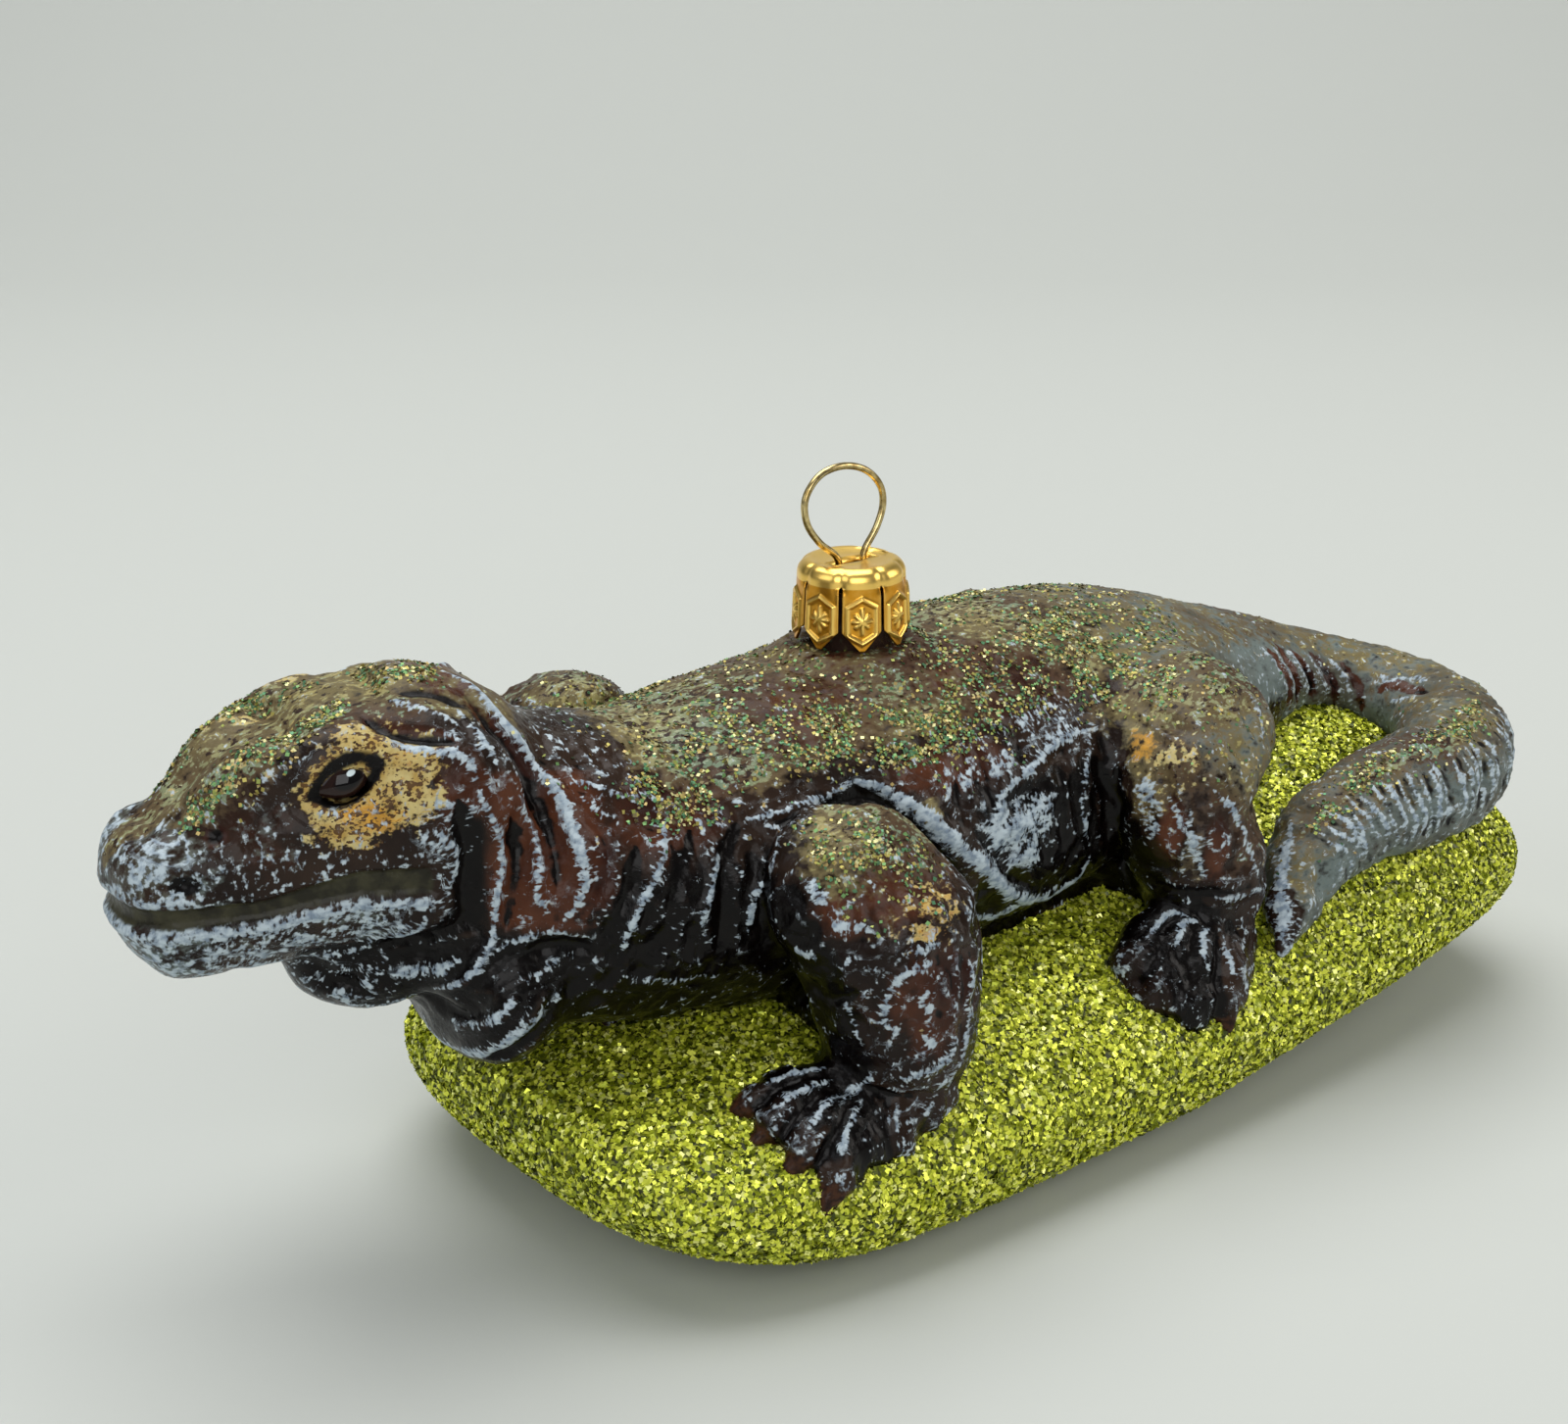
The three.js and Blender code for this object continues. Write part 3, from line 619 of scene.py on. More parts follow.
class Skin:
    """The skin's points with what the folds and paints add to them."""

    masks = ("frost", "russet", "slate", "moss", "ochre", "amber", "shade", "claw", "sparkle", "lip")

    def __init__(self, shape):
        self.shape = shape
        self.points, self.quads = shape.points, shape.quads
        self.normals = self.point_normals()
        self.lift = np.zeros(len(self.points))
        self.paint = {name: np.zeros(len(self.points)) for name in self.masks}
        self.bare = np.zeros(len(self.points))   # where the dry brush is kept off
        # Where the noise of bristle marks is read, and how close the stroke that set it runs.
        self.brush = self.points[:, [0, 2, 1]] * (1, 0.55, 0.55)
        self.reach = np.zeros(len(self.points))
        self.dice = random.Random(SKIN_SEED)

    def add(self, name, strengths):
        """Raises a paint to the given strengths where it is weaker."""
        self.paint[name] = np.maximum(self.paint[name], strengths)

    def point_normals(self):
        """The unit normal at each point."""
        a, b, c, d = (self.points[self.quads[:, i]] for i in range(4))
        flat = np.cross(c - a, d - b)
        total = np.zeros_like(self.points)
        for i in range(4):
            for axis in range(3):
                total[:, axis] += np.bincount(self.quads[:, i], flat[:, axis], len(self.points))
        return total / np.maximum(np.linalg.norm(total, axis=1, keepdims=True), 1e-9)

    def spread(self, values, times):
        """Values averaged with their neighbours' a number of times."""
        a, b = self.quads.ravel(), np.roll(self.quads, 1, 1).ravel()
        count = np.bincount(a, minlength=len(values)) + np.bincount(b, minlength=len(values))
        for _ in range(times):
            near = np.bincount(a, values[b], len(values)) + np.bincount(b, values[a], len(values))
            values = 0.5 * values + 0.5 * near / count
        return values

    def bulge(self, times):
        """How much each point stands proud of its surroundings, in millimetres."""
        smooth = np.stack([self.spread(self.points[:, i], times) for i in range(3)], 1)
        return ((self.points - smooth) * self.point_normals()).sum(1)

    def on_skin(self, place, spots, hand):
        """The given (along, turn) spots of a part as points on its skin."""
        on_limb = place in ("front", "hind")
        tree = self.shape.limbs if on_limb else self.shape.torso
        found = []
        for along, turn in spots:
            start, way = (Vector(each) for each in axis_ray(place, along, turn, hand))
            hit = tree.ray_cast(start, way)[0]
            while on_limb and hit is not None and (hit - start).length < LIMB_HOLLOW:
                past = hit + way * 0.01
                hit = tree.ray_cast(past, way)[0]
            if hit is not None:
                found.append(np.array(hit))
        return found

    def laid_on(self, line, tree):
        """The points of a line moved to the nearest places on a surface."""
        found = [tree.find_nearest(Vector(point))[0] for point in line]
        return curve_through([np.array(point) for point in found], 0.6)

    def near(self, line, reach):
        """The points near a line: their numbers, distance, place along and signed distance
        across it, and then the line's length."""
        low, high = line.min(0) - reach, line.max(0) + reach
        chosen = np.nonzero(((self.points > low) & (self.points < high)).all(1))[0]
        spots = self.points[chosen]
        gone, best = 0.0, np.full(len(chosen), 1e9)
        along, across = np.zeros(len(chosen)), np.zeros(len(chosen))
        for a, b in zip(line[:-1], line[1:]):
            step = b - a
            size = np.linalg.norm(step)
            if size < 1e-6:
                continue
            share = np.clip(((spots - a) @ step) / size ** 2, 0, 1)
            away = spots - a - share[:, None] * step
            gap = np.linalg.norm(away, axis=1)
            closer = gap < best
            best[closer] = gap[closer]
            along[closer] = gone + share[closer] * size
            side = np.cross(self.normals[chosen[closer]], step / size)
            across[closer] = gap[closer] * np.sign((away[closer] * side).sum(1))
            gone += size
        inside = best < reach
        return chosen[inside], best[inside], along[inside], across[inside], gone

    def strayed(self, spots, hand, reach):
        """The spots of a mark on the left, or the same a little off their place on the right: at
        random up to `reach` millimetres along and 3 degrees round."""
        if hand == 1:
            return spots
        more, on = self.dice.uniform(-reach, reach), self.dice.uniform(-3, 3)
        return [(along + more, turn + on) for along, turn in spots]

    def stroke(self, place, spots, width, lift=0.0, hands=(1,), **paints):
        """A fold, groove or brush stroke along a line of spots. `width` is half its breadth,
        `lift` its height (below 0 for a groove), and the paints are strengths from 0 to 1."""
        for hand in hands:
            line = self.on_skin(place, self.strayed(spots, hand, 0.7), hand)
            if len(line) < 2:
                continue
            self.stroke_line(curve_through(line, 0.8), width, lift, **paints)

    def stroke_line(self, line, width, lift=0.0, taper=0.22, **paints):
        """A stroke along points on the skin; `taper` is the share of it that each end narrows
        over. Frost is laid narrower than the other paints."""
        chosen, gap, along, across, length = self.near(line, 2.6 * width)
        if not len(chosen):
            return
        end = np.clip(np.minimum(along, length - along) / (taper * length), 0, 1)
        swell = np.sqrt(np.clip(end, 0.03, 1))
        share = gap / (width * swell)
        bell = np.exp(-share ** 2)
        height = lift * bell * swell
        if lift > 0:
            self.lift[chosen] = np.maximum(self.lift[chosen], RIDGE * height)
        else:
            self.lift[chosen] += height
        for name, strength in paints.items():
            mask = self.paint[name]
            reach = share * (1.6 if name == "frost" else 0.9)
            mask[chosen] = np.maximum(mask[chosen], strength * np.clip(1.15 - 0.55 * reach, 0, 1))
        nearer = bell > self.reach[chosen]
        kept = chosen[nearer]
        self.reach[kept] = bell[nearer]
        self.brush[kept] = np.stack([across[nearer] * 0.45, along[nearer], gap[nearer] * 0], 1)

    def patch(self, place, spot, size, hands=(1,), lift=0.0, **paints):
        """A soft patch of paint, raised by `lift`. `size` is its half size along x, y and z, on
        the head those of the head's own frame."""
        for hand in hands:
            middle = self.on_skin(place, self.strayed([spot], hand, 0.8), hand)
            if middle:
                away = self.points - middle[0]
                if place == "head":
                    away = to_head(self.points) - to_head(middle[0])
                share = np.linalg.norm(away / np.asarray(size, float), axis=1)
                self.lift += lift * np.exp(-2 * share ** 2)
                for name, strength in paints.items():
                    mask = self.paint[name]
                    mask[:] = np.maximum(mask, strength * np.clip(1.5 - share, 0, 1))

    def settle_relief(self):
        """Moves the points out by what the folds and patches raise."""
        self.points = self.points + self.normals * (self.lift * sizes().relief)[:, None]
        self.normals = self.point_normals()


def turned(points, axis):
    """Degrees round an axis (y, z) from the top, 90 on either side and 180 below."""
    return np.degrees(np.arctan2(np.abs(points[:, 1] - axis[0]), points[:, 2] - axis[1]))


def shape_mouth(skin):
    """The long closed mouth: a sunk band between two lips, deeper towards its corner."""
    own = to_head(skin.points)
    x, z = own[:, 0], own[:, 2]
    middle = np.interp(x, [-40, -34.6, -26.4, -22.6, -18.4, -12.6],
                       [39.9, 40.3, 40.2, 41.0, 41.9, 41.4])
    half = np.interp(x, [-40, -26, -18, -12], [0.95, 0.85, 1.25, 1.3])
    there = smoothstep(-11.2, -13.0, x) * smoothstep(6, 9, z - 27)
    across = (z - middle) / half
    band = np.exp(-(across / 1.15) ** 4) * there
    skin.lift -= 0.55 * band
    skin.add("lip", band)
    lower = np.exp(-(((z - middle) + half + 0.75) / 0.7) ** 2) * there
    upper = np.exp(-(((z - middle) - half - 0.65) / 0.6) ** 2) * there
    skin.lift += 0.35 * lower + 0.15 * upper
    front = smoothstep(-27, -33, x)
    skin.bare = 0.8 * upper * (1 - front)
    skin.add("frost", 0.72 * lower + 0.55 * upper * front)


def shape_head(skin):
    """Brows, temples, nostrils and the folds behind the jaw."""
    for spots, width, lift, paints in (
        ([(-6.5, 3), (-5.0, 14), (-3.6, 30), (-2.1, 42), (-0.2, 63), (0.6, 79), (1.0, 94),
          (0.8, 106), (-1.2, 116)], 0.95, 1.2, {"frost": 0.76}),
        ([(-3.9, 66), (-2.7, 82), (-2.7, 95), (-3.2, 106), (-2.0, 113)], 0.5, 0.6, {"frost": 0.66}),
        ([(-8.2, 58), (-7.4, 68), (-6.2, 80), (-5.8, 96), (-6.6, 111), (-7.2, 125), (-9.6, 136),
          (-12.6, 154)], 0.55, 0.9, {"frost": 0.7}),
        ([(-14.6, 38), (-12.6, 43), (-10.4, 47), (-8.4, 51), (-8.1, 60)], 0.65, 0.4, {"frost": 0.72}),
        ([(-13.4, 20), (-11.7, 26), (-9.7, 32), (-8.0, 38)], 0.85, 0.6, {"frost": 0.5}),
        ([(-7.6, 28), (-6.6, 42), (-6.0, 53)], 0.6, 0.4, {"frost": 0.6}),
        ([(-22.5, 24), (-19.5, 15), (-15.5, 13)], 1.1, 0.75, {"moss": 0.9}),
        ([(-27.0, 30), (-24.5, 22), (-20.5, 10)], 0.9, 0.4, {"ochre": 0.5}),
        ([(-31.2, 141), (-24.0, 150), (-18.0, 141), (-13.9, 120), (-12.4, 108)],
         0.8, 0.4, {"frost": 0.7}),
        ([(-12.4, 72), (-10.4, 81), (-9.9, 92), (-11.2, 100)], 0.7, 0.35, {"frost": 0.66}),
        ([(-6.2, 18), (-4.7, 32), (-3.2, 46), (-1.9, 64), (-1.3, 80), (-1.2, 96), (-1.6, 107)],
         1.2, -0.8, {"russet": 1, "shade": 0.25}),
        ([(-4.8, 72), (-4.2, 88), (-4.9, 104), (-5.8, 120)], 1.1, -0.6, {"russet": 1}),
        ([(-9.8, 64), (-8.9, 82), (-9.0, 100), (-9.4, 117), (-11.6, 125)], 1.35, -1.0, {"shade": 1}),
        ([(-15.8, 26), (-14.2, 35), (-12.0, 40), (-8.9, 44)], 1.0, -0.9, {"russet": 1, "shade": 0.55}),
        ([(-12.2, 17), (-9.0, 21), (-6.2, 28)], 0.6, -0.4, {"shade": 0.7}),
        ([(-24.5, 152), (-18.0, 152), (-13.0, 130), (-10.6, 112)], 1.5, -0.9, {"shade": 1}),
    ):
        skin.stroke("head", spots, width, lift, BOTH, **paints)
    for spot, size, lift, paints in (
        ((-17.6, 34), (4.2, 3.0, 3.0), 0.6, {}),
        ((-9.5, 8), (4.0, 5.0, 3.5), 0.4, {}),
        ((-25.6, 14), (3.0, 3.2, 3.0), 0.6, {}),
        ((-21.8, 16), (1.6, 4.0, 2.6), -0.6, {}),
        ((-13.4, 6), (1.6, 4.0, 2.6), -0.5, {}),
        ((-32.6, 84), (1.5, 1.2, 1.1), -0.8, {"shade": 1}),
        ((-29.3, 56), (1.2, 1.0, 0.9), -0.4, {"russet": 0.9, "shade": 0.4}),
    ):
        skin.patch("head", spot, size, BOTH, lift, **paints)
    shape_mouth(skin)


def lid_line(hand, turns, grow):
    """Part of an almond round one eye, `grow` times the eye's size, in the maker's frame."""
    rim = []
    for turn in turns:
        along, over = math.cos(turn), math.sin(turn) * abs(math.sin(turn)) ** 0.55
        u, w = grow * EYE_SIZE[0] * along, (grow * EYE_SIZE[2] + 0.3 * (grow - 1)) * over
        rim.append(EYE_AT * (1, -hand, 1) + np.array([
            u * math.cos(EYE_TILT) - w * math.sin(EYE_TILT), -hand * (0.9 - 0.25 * w),
            u * math.sin(EYE_TILT) + w * math.cos(EYE_TILT)]))
    return from_head(np.array(rim))


def shape_eye_rims(skin):
    """Lids: a low rim round each eye, and a dark line that is thickest along the upper lid."""
    round_it = np.linspace(0, 2 * math.pi, 33)
    over_it = np.linspace(-0.3, math.pi + 0.1, 17)
    for hand in BOTH:
        for turns, grow, width, lift, paints in (
            (round_it, 1.35, 0.6, 0.3, {"ochre": 0.9}), (round_it, 1.0, 0.45, 0.0, {"shade": 1}),
            (over_it, 1.1, 0.45, 0.15, {"shade": 1}),
        ):
            line = skin.laid_on(lid_line(hand, turns, grow), skin.shape.torso)
            skin.stroke_line(line, width, lift, taper=0.001, **paints)
        tick = [EYE_AT * (1, -hand, 1) + np.array([u, -hand * (0.9 - 0.3 * w), w]) for u, w in (
            (-3.9, -1.3), (-4.5, -0.5), (-4.9, 0.5))]
        skin.stroke_line(from_head(np.array(tick)), 0.4, 0, shade=1)


def paint_head(skin):
    """Frosted snout and jaws, ochre round the eye, moss over the top of the head."""
    own = to_head(skin.points)
    x, z = own[:, 0], own[:, 2]
    turn = turned(own, (0, HEAD_AXIS))
    on_head = smoothstep(2, -3, x)
    skin.add("moss", 0.85 * smoothstep(44, 24, turn) * on_head)
    snout = smoothstep(-26, -33, x) * smoothstep(10, 34, turn)
    cheek = smoothstep(-12, -17, x) * smoothstep(60, 72, turn)
    jaw = smoothstep(40.6, 39.4, z) * smoothstep(-12, -15, x)
    behind = (smoothstep(-17, -13, x) * smoothstep(-6, -9, x) * smoothstep(56, 66, turn)
              * smoothstep(104, 92, turn))
    pouch = smoothstep(35.8, 34.6, z) * smoothstep(-26, -22, x) * smoothstep(8, 4, x)
    jaw = jaw * (1 - pouch)
    skin.add("slate", np.maximum(0.6 * snout, 0.4 * jaw))
    skin.add("shade", 0.85 * pouch)
    for mask, strength in ((snout, 0.5), (cheek, 0.34), (jaw, 0.56), (behind, 0.42)):
        skin.add("frost", strength * mask)
    for spot, size, paints in (
        ((-19.8, 50), (3.0, 3.6, 2.6), {"ochre": 0.9}),
        ((-16.3, 40), (4.2, 3.6, 1.9), {"ochre": 0.9}),
        ((-12.9, 48), (2.8, 4.0, 2.6), {"ochre": 0.9}),
        ((-14.6, 58), (3.6, 4.0, 2.8), {"ochre": 0.95}),
        ((-18.8, 66), (3.4, 3.5, 2.2), {"ochre": 0.9}),
        ((-17.0, 64), (2.8, 3.0, 1.8), {"amber": 0.75}),
        ((-13.6, 46), (1.6, 3.0, 1.4), {"amber": 0.45}),
        ((-9.0, 62), (3.0, 4, 3.5), {"russet": 0.8}),
        ((-7.0, 8), (4.0, 4, 5), {"russet": 0.95}),
        ((-26.0, 62), (5.0, 4, 3.5), {"russet": 0.4, "slate": 0.35}),
    ):
        skin.patch("head", spot, size, BOTH, **paints)
    neck = smoothstep(-9, -6, x) * smoothstep(6, 2, x) * smoothstep(50, 62, turn)
    skin.add("russet", neck * smoothstep(128, 112, turn))
    skin.add("shade", 0.85 * smoothstep(120, 136, turn) * smoothstep(-20, -15, x) * smoothstep(8, 4, x))
    for spots, width in (
        ([(-32.3, 38), (-29.5, 36), (-26.8, 32), (-23.8, 28), (-20.1, 22), (-16.6, 14)], 1.5),
        ([(-13.5, 12), (-9.5, 5), (-6.5, 3)], 1.7),
    ):
        skin.stroke("head", spots, width, 0, BOTH, sparkle=1.0, moss=0.9)


def shape_throat(skin):
    """The throat's pouch and folds, each with a pale edge over a dark hollow."""
    for spots, width, lift, paints in (
        ([(-15.4, 146), (-12.8, 146), (-10.8, 139), (-9.6, 131)], 1.0, 0.5, {"frost": 0.78}),
        ([(-18.7, 162), (-14.8, 161), (-11.6, 155)], 0.7, 0.3, {"frost": 0.6}),
        ([(-9.6, 135), (-7.2, 127), (-4.8, 122), (-1.5, 119), (1.7, 122)], 0.5, 0.4, {"frost": 0.64}),
        ([(-9.8, 152), (-7.5, 137), (-5.5, 131)], 0.6, 0.4, {"frost": 0.66}),
        ([(-12.0, 176), (-9.6, 168), (-7.8, 150), (-5.8, 139), (-2.9, 136), (0.5, 131)],
         1.0, 0.4, {"frost": 0.76}),
        ([(-7.1, 132), (-3.3, 130), (-1.0, 127)], 0.55, 0.4, {"frost": 0.66}),
    ):
        skin.stroke("head", spots, width, lift, BOTH, **paints)
    for spots in ([(-12.0, 158), (-9.6, 146), (-7.8, 134)], [(-7.4, 152), (-5.4, 143), (-2.0, 134)],
                  [(-4.4, 126), (-1.0, 124), (2.0, 126)]):
        skin.stroke("head", spots, 1.0, -0.8, BOTH, shade=1)


def shape_shoulder(skin):
    """Folds of loose skin between the neck and the arm, and the long fold over the arm."""
    for spots, width, lift, strength in (
        ([(-41.8, 34), (-38.4, 38), (-36.2, 46), (-32.8, 50), (-30.9, 58)], 0.5, 0.3, 0.66),
        ([(-40.2, 38), (-39.0, 48), (-36.7, 53)], 0.45, 0.25, 0.6),
        ([(-25.4, 66), (-21.2, 67), (-16.8, 66), (-12.8, 64)], 0.55, 0.6, 0.7),
        ([(-33.0, 57), (-34.7, 71), (-37.0, 83), (-39.1, 105)], 0.62, 0.7, 0.8),
        ([(-28.7, 73), (-30.5, 83), (-31.9, 95)], 0.5, 0.5, 0.62),
        ([(-20.4, 72), (-23.9, 81), (-26.4, 90), (-26.8, 103)], 0.66, 0.6, 0.78),
        ([(-23.8, 70), (-20.4, 72), (-17.0, 71)], 0.7, 0.3, 0.7),
        ([(-38.6, 112), (-33.0, 116), (-28.0, 116)], 0.6, 0.3, 0.55),
        ([(-12.8, 64), (-10.5, 68), (-7.9, 76), (-4.1, 88), (0.8, 101), (5.3, 112), (11.0, 121),
          (15.2, 119), (16.4, 108)], 1.25, 1.2, 0.86),
        ([(0.6, 119), (5.6, 121), (8.6, 116)], 0.9, 0.7, 0.84),
        ([(2.1, 81), (6.7, 77), (12.1, 71), (17.0, 70)], 0.65, 0.6, 0.78),
        ([(17.0, 70), (14.9, 81), (13.8, 93), (15.9, 106)], 0.42, 0.3, 0.72),
    ):
        skin.stroke("body", spots, width, lift, BOTH, frost=strength)
    for spots, width, lift in (
        ([(-26.0, 66), (-28.9, 77), (-29.2, 90), (-29.8, 106)], 0.9, -0.5),
        ([(-24.0, 80), (-19.0, 73), (-14.0, 69.5), (-10.6, 72), (-8.6, 80), (-5.2, 96),
          (-0.5, 112)], 1.5, -1.1),
        ([(-31.0, 64), (-33.2, 76), (-34.8, 92), (-36.0, 108)], 0.8, -0.35),
        ([(-36.6, 64), (-38.4, 80), (-40.6, 100)], 0.8, -0.3),
        ([(16.4, 78), (17.8, 92), (18.8, 108)], 1.2, -0.8),
        ([(-1.0, 88), (4.0, 106), (9.0, 114)], 0.8, -0.5),
    ):
        skin.stroke("body", spots, width, lift, BOTH, shade=1)


def paint_body(skin):
    """Moss and russet on the back, black lower flanks, and the frosted patch on the flank."""
    x, y, z = skin.points.T
    turn = turned(skin.points, BODY_AXIS)
    skin.add("moss", smoothstep(-36, -30, x) * smoothstep(66, 50, turn)
             * smoothstep(-25, -18, -np.abs(y)) * (1 - 0.35 * smoothstep(16, 28, x)))
    skin.add("moss", smoothstep(20, 34, x) * smoothstep(96, 66, turn) * smoothstep(-23, -19, y)
             * (1 - 0.82 * smoothstep(18, 30, x)))
    skin.add("slate", 0.95 * smoothstep(18, 32, x) * smoothstep(104, 84, turn))
    bare = skin.shape.on_torso
    # Black low on the flanks, and higher up before the arm and between arm and thigh.
    skin.add("shade", smoothstep(92, 112, turn) * smoothstep(-34, -28, x)
             * smoothstep(34, 26, x) * bare)
    skin.add("shade", 0.95 * smoothstep(66, 86, turn) * smoothstep(-46, -38, x)
             * smoothstep(-11, -17, x) * bare)
    skin.add("shade", 0.9 * smoothstep(72, 84, turn) * smoothstep(-3, 2, x)
             * smoothstep(20.5, 18, x) * bare)
    for spot, size, paints in (
        ((-33, 58), (6, 5, 4), {"russet": 0.85}),
        ((-12, 35), (8, 9, 4), {"russet": 0.85}),
        ((8, 42), (10, 8, 4), {"russet": 0.85}),
        ((-2, 68), (8, 6, 2.4), {"russet": 0.85}),
        ((4.4, 92), (5.4, 5, 4.2), {"frost": 0.84}),
        ((2.0, 72), (9, 5, 1.6), {"frost": 0.52}),
        ((12.0, 66), (6, 5, 2.8), {"frost": 0.54}),
        ((-20.0, 73), (2.4, 2, 1.1), {"amber": 0.7}),
    ):
        skin.patch("body", spot, size, BOTH, **paints)
    skin.patch("body", (-2, 0), (10, 10, 4), (1,), russet=0.9)
    skin.paint["moss"] *= 1 - 0.5 * np.clip(skin.paint["russet"], 0, 1)
    for spot, size, strength in (
        ((-31, 50), (5, 5, 3.5), 1.0), ((-22, 34), (9, 6, 4), 0.8), ((-13, 46), (8, 5, 3), 1.0),
        ((-4, 55), (10, 5, 3.4), 1.0), ((8, 50), (9, 5, 4), 0.8), ((22, 34), (7, 6, 6), 1.0),
        ((20, 52), (5, 5, 4), 1.0), ((32, 32), (8, 8, 6), 0.6), ((8, 22), (9, 7, 7), 0.6),
        ((-4, 20), (32, 17, 9), 0.42), ((24, 50), (4, 4, 3), 1.0),
    ):
        skin.patch("body", spot, size, BOTH, sparkle=strength)
    # The knee's amber stays clear of the black, and the tail's russet bars of slate and moss.
    knee = np.clip(skin.paint["amber"], 0, 1) * smoothstep(20, 24, x)
    skin.paint["shade"] *= 1 - 0.9 * knee
    bars = smoothstep(0.6, 1.0, skin.paint["russet"]) * smoothstep(34, 40, x)
    for name in ("slate", "moss"):
        skin.paint[name] *= 1 - 0.85 * bars


def shape_legs(skin):
    """Brush strokes and creases on the legs."""
    for spots, width, lift in (
        ([(34.4, 43), (34.7, 54), (34.2, 63)], 0.9, 0.2),
        ([(31.1, 93), (30.6, 75), (28.2, 64), (25.7, 60), (25.0, 67)], 0.7, 0.3),
        ([(28.8, 84), (27.2, 80), (26.4, 88)], 0.6, 0.2), ([(38.4, 36), (36.2, 41)], 1.0, 0.2),
        ([(31.6, 14), (31.0, 30)], 0.7, 0.2),
        ([(30.0, 112), (26.0, 111), (21.4, 106), (17.8, 100)], 0.5, 0.2),
        ([(19.4, 56), (20.1, 75), (20.9, 92), (23.1, 101)], 0.6, 0.3),
        ([(32.6, 96), (32.2, 80)], 0.55, 0.2), ([(24.0, 78), (22.6, 86)], 0.5, 0.1),
        ([(27.5, 40), (24.0, 44)], 0.6, 0.15), ([(16.2, 12), (18.2, 33), (20.4, 46)], 0.7, 0.3),
        ([(14.6, 76), (16.2, 88), (18.4, 94)], 0.6, 0.2),
    ):
        skin.stroke("front", spots, width, lift, BOTH, frost=0.76)
    for spots, width, lift in (
        ([(37.4, 27), (34.3, 30), (31.0, 27)], 1.4, 0.1),
        ([(34.6, 48), (32.9, 47), (30.2, 47), (27.1, 51)], 0.9, 0.2),
        ([(36.6, 59), (33.7, 70), (29.9, 80), (25.9, 91)], 0.7, 0.2),
        ([(36.8, 38), (34.5, 41), (32.0, 43)], 0.6, 0.1),
        ([(43.6, 110), (41.0, 108), (38.4, 98)], 0.6, 0.3),
        ([(24.6, 56), (24.4, 74), (24.2, 96)], 0.4, 0.35),
        ([(43.0, 20), (41.4, 8)], 0.6, 0.2),
    ):
        skin.stroke("hind", spots, width, lift, BOTH, frost=0.68)
    for place, spots, width, lift, dark in (
        ("front", [(18.0, 14), (17.8, 40), (17.4, 60)], 0.8, -0.4, 1),
        ("front", [(27.6, 8), (27.0, 30), (28.6, 50)], 0.8, -0.4, 1),
        ("hind", [(25.6, 20), (25.2, 50), (25.0, 98)], 0.6, -0.4, 1),
        ("hind", [(45.5, 10), (46.5, 60), (45.0, 110), (42.0, 125)], 1.1, -0.5, 0.35),
    ):
        skin.stroke(place, spots, width, lift, BOTH, shade=dark)
    for place, spot, size, paints in (
        ("front", (40.5, 66), (6, 5, 3.0), {"sparkle": 0.9, "moss": 0.8}),
        ("front", (39.0, 104), (4, 4, 3.0), {"sparkle": 0.7, "moss": 0.9}),
        ("front", (37.0, 84), (6.0, 5.0, 3.4), {"moss": 0.6, "russet": 0.8, "sparkle": 0.4}),
        ("front", (34.8, 98), (4.0, 4.0, 2.6), {"amber": 0.4, "ochre": 0.52}),
        ("front", (35.5, 52), (3.0, 3.5, 2.6), {"russet": 0.8}),
        ("front", (27.0, 86), (6.0, 6.0, 6.0), {"russet": 0.7}),
        ("hind", (45.0, 60), (8, 6, 4.4), {"sparkle": 0.6, "moss": 0.75}),
        ("hind", (40.6, 84), (8, 6, 4.0), {"moss": 0.6, "slate": 0.9, "sparkle": 0.3}),
        ("hind", (39.6, 27), (2.0, 2.0, 1.4), {"amber": 0.72}),
        ("hind", (39.0, 42), (4.4, 4.4, 2.6), {"moss": 0.9, "ochre": 0.42}),
        ("hind", (35.0, 32), (3.4, 3.4, 3.0), {"moss": 0.8, "ochre": 0.3}),
        ("hind", (32.5, 38), (1.5, 1.5, 3.4), {"russet": 0.95}),
        ("hind", (29.8, 59), (1.6, 1.6, 3.6), {"russet": 0.95}),
    ):
        skin.patch(place, spot, size, BOTH, **paints)


def shape_toes(skin):
    """Knuckle ridges with pale strokes, dark grooves between the toes, and brown claws."""
    limbs = skin.shape.limbs
    for hand in BOTH:
        for leg, sole, claws, rise, stout, _ in TOES:
            foot = stand_at(sole, leg, hand)
            tops = []
            for claw in claws:
                shares = np.linspace(0.2, 1.0, 9)
                line = toe_line(foot, stand_at(claw, leg, hand), rise, shares)
                line[:, 2] += toe_girth(shares) * stout
                tops.append(line)
            for number, line in enumerate(tops):
                if leg == "front" or number == 3:
                    away = np.linalg.norm(skin.points - (line[-1] - (0, 0, 0.6)), axis=1)
                    skin.add("claw", np.clip(1.5 - away / 2.4, 0, 1))
                pale = 0.7 if leg == "front" else 0.85
                ridge = skin.laid_on(line[1:7] + (0, -0.5 * hand, 0), limbs)
                skin.stroke_line(ridge, 0.5, 0.15, frost=pale)
            for one, two in zip(tops[:-1], tops[1:]):
                between = (one + two)[2:] / 2 - (0, 0, 0.8)
                skin.stroke_line(skin.laid_on(between, limbs), 0.6, -0.35, shade=1)


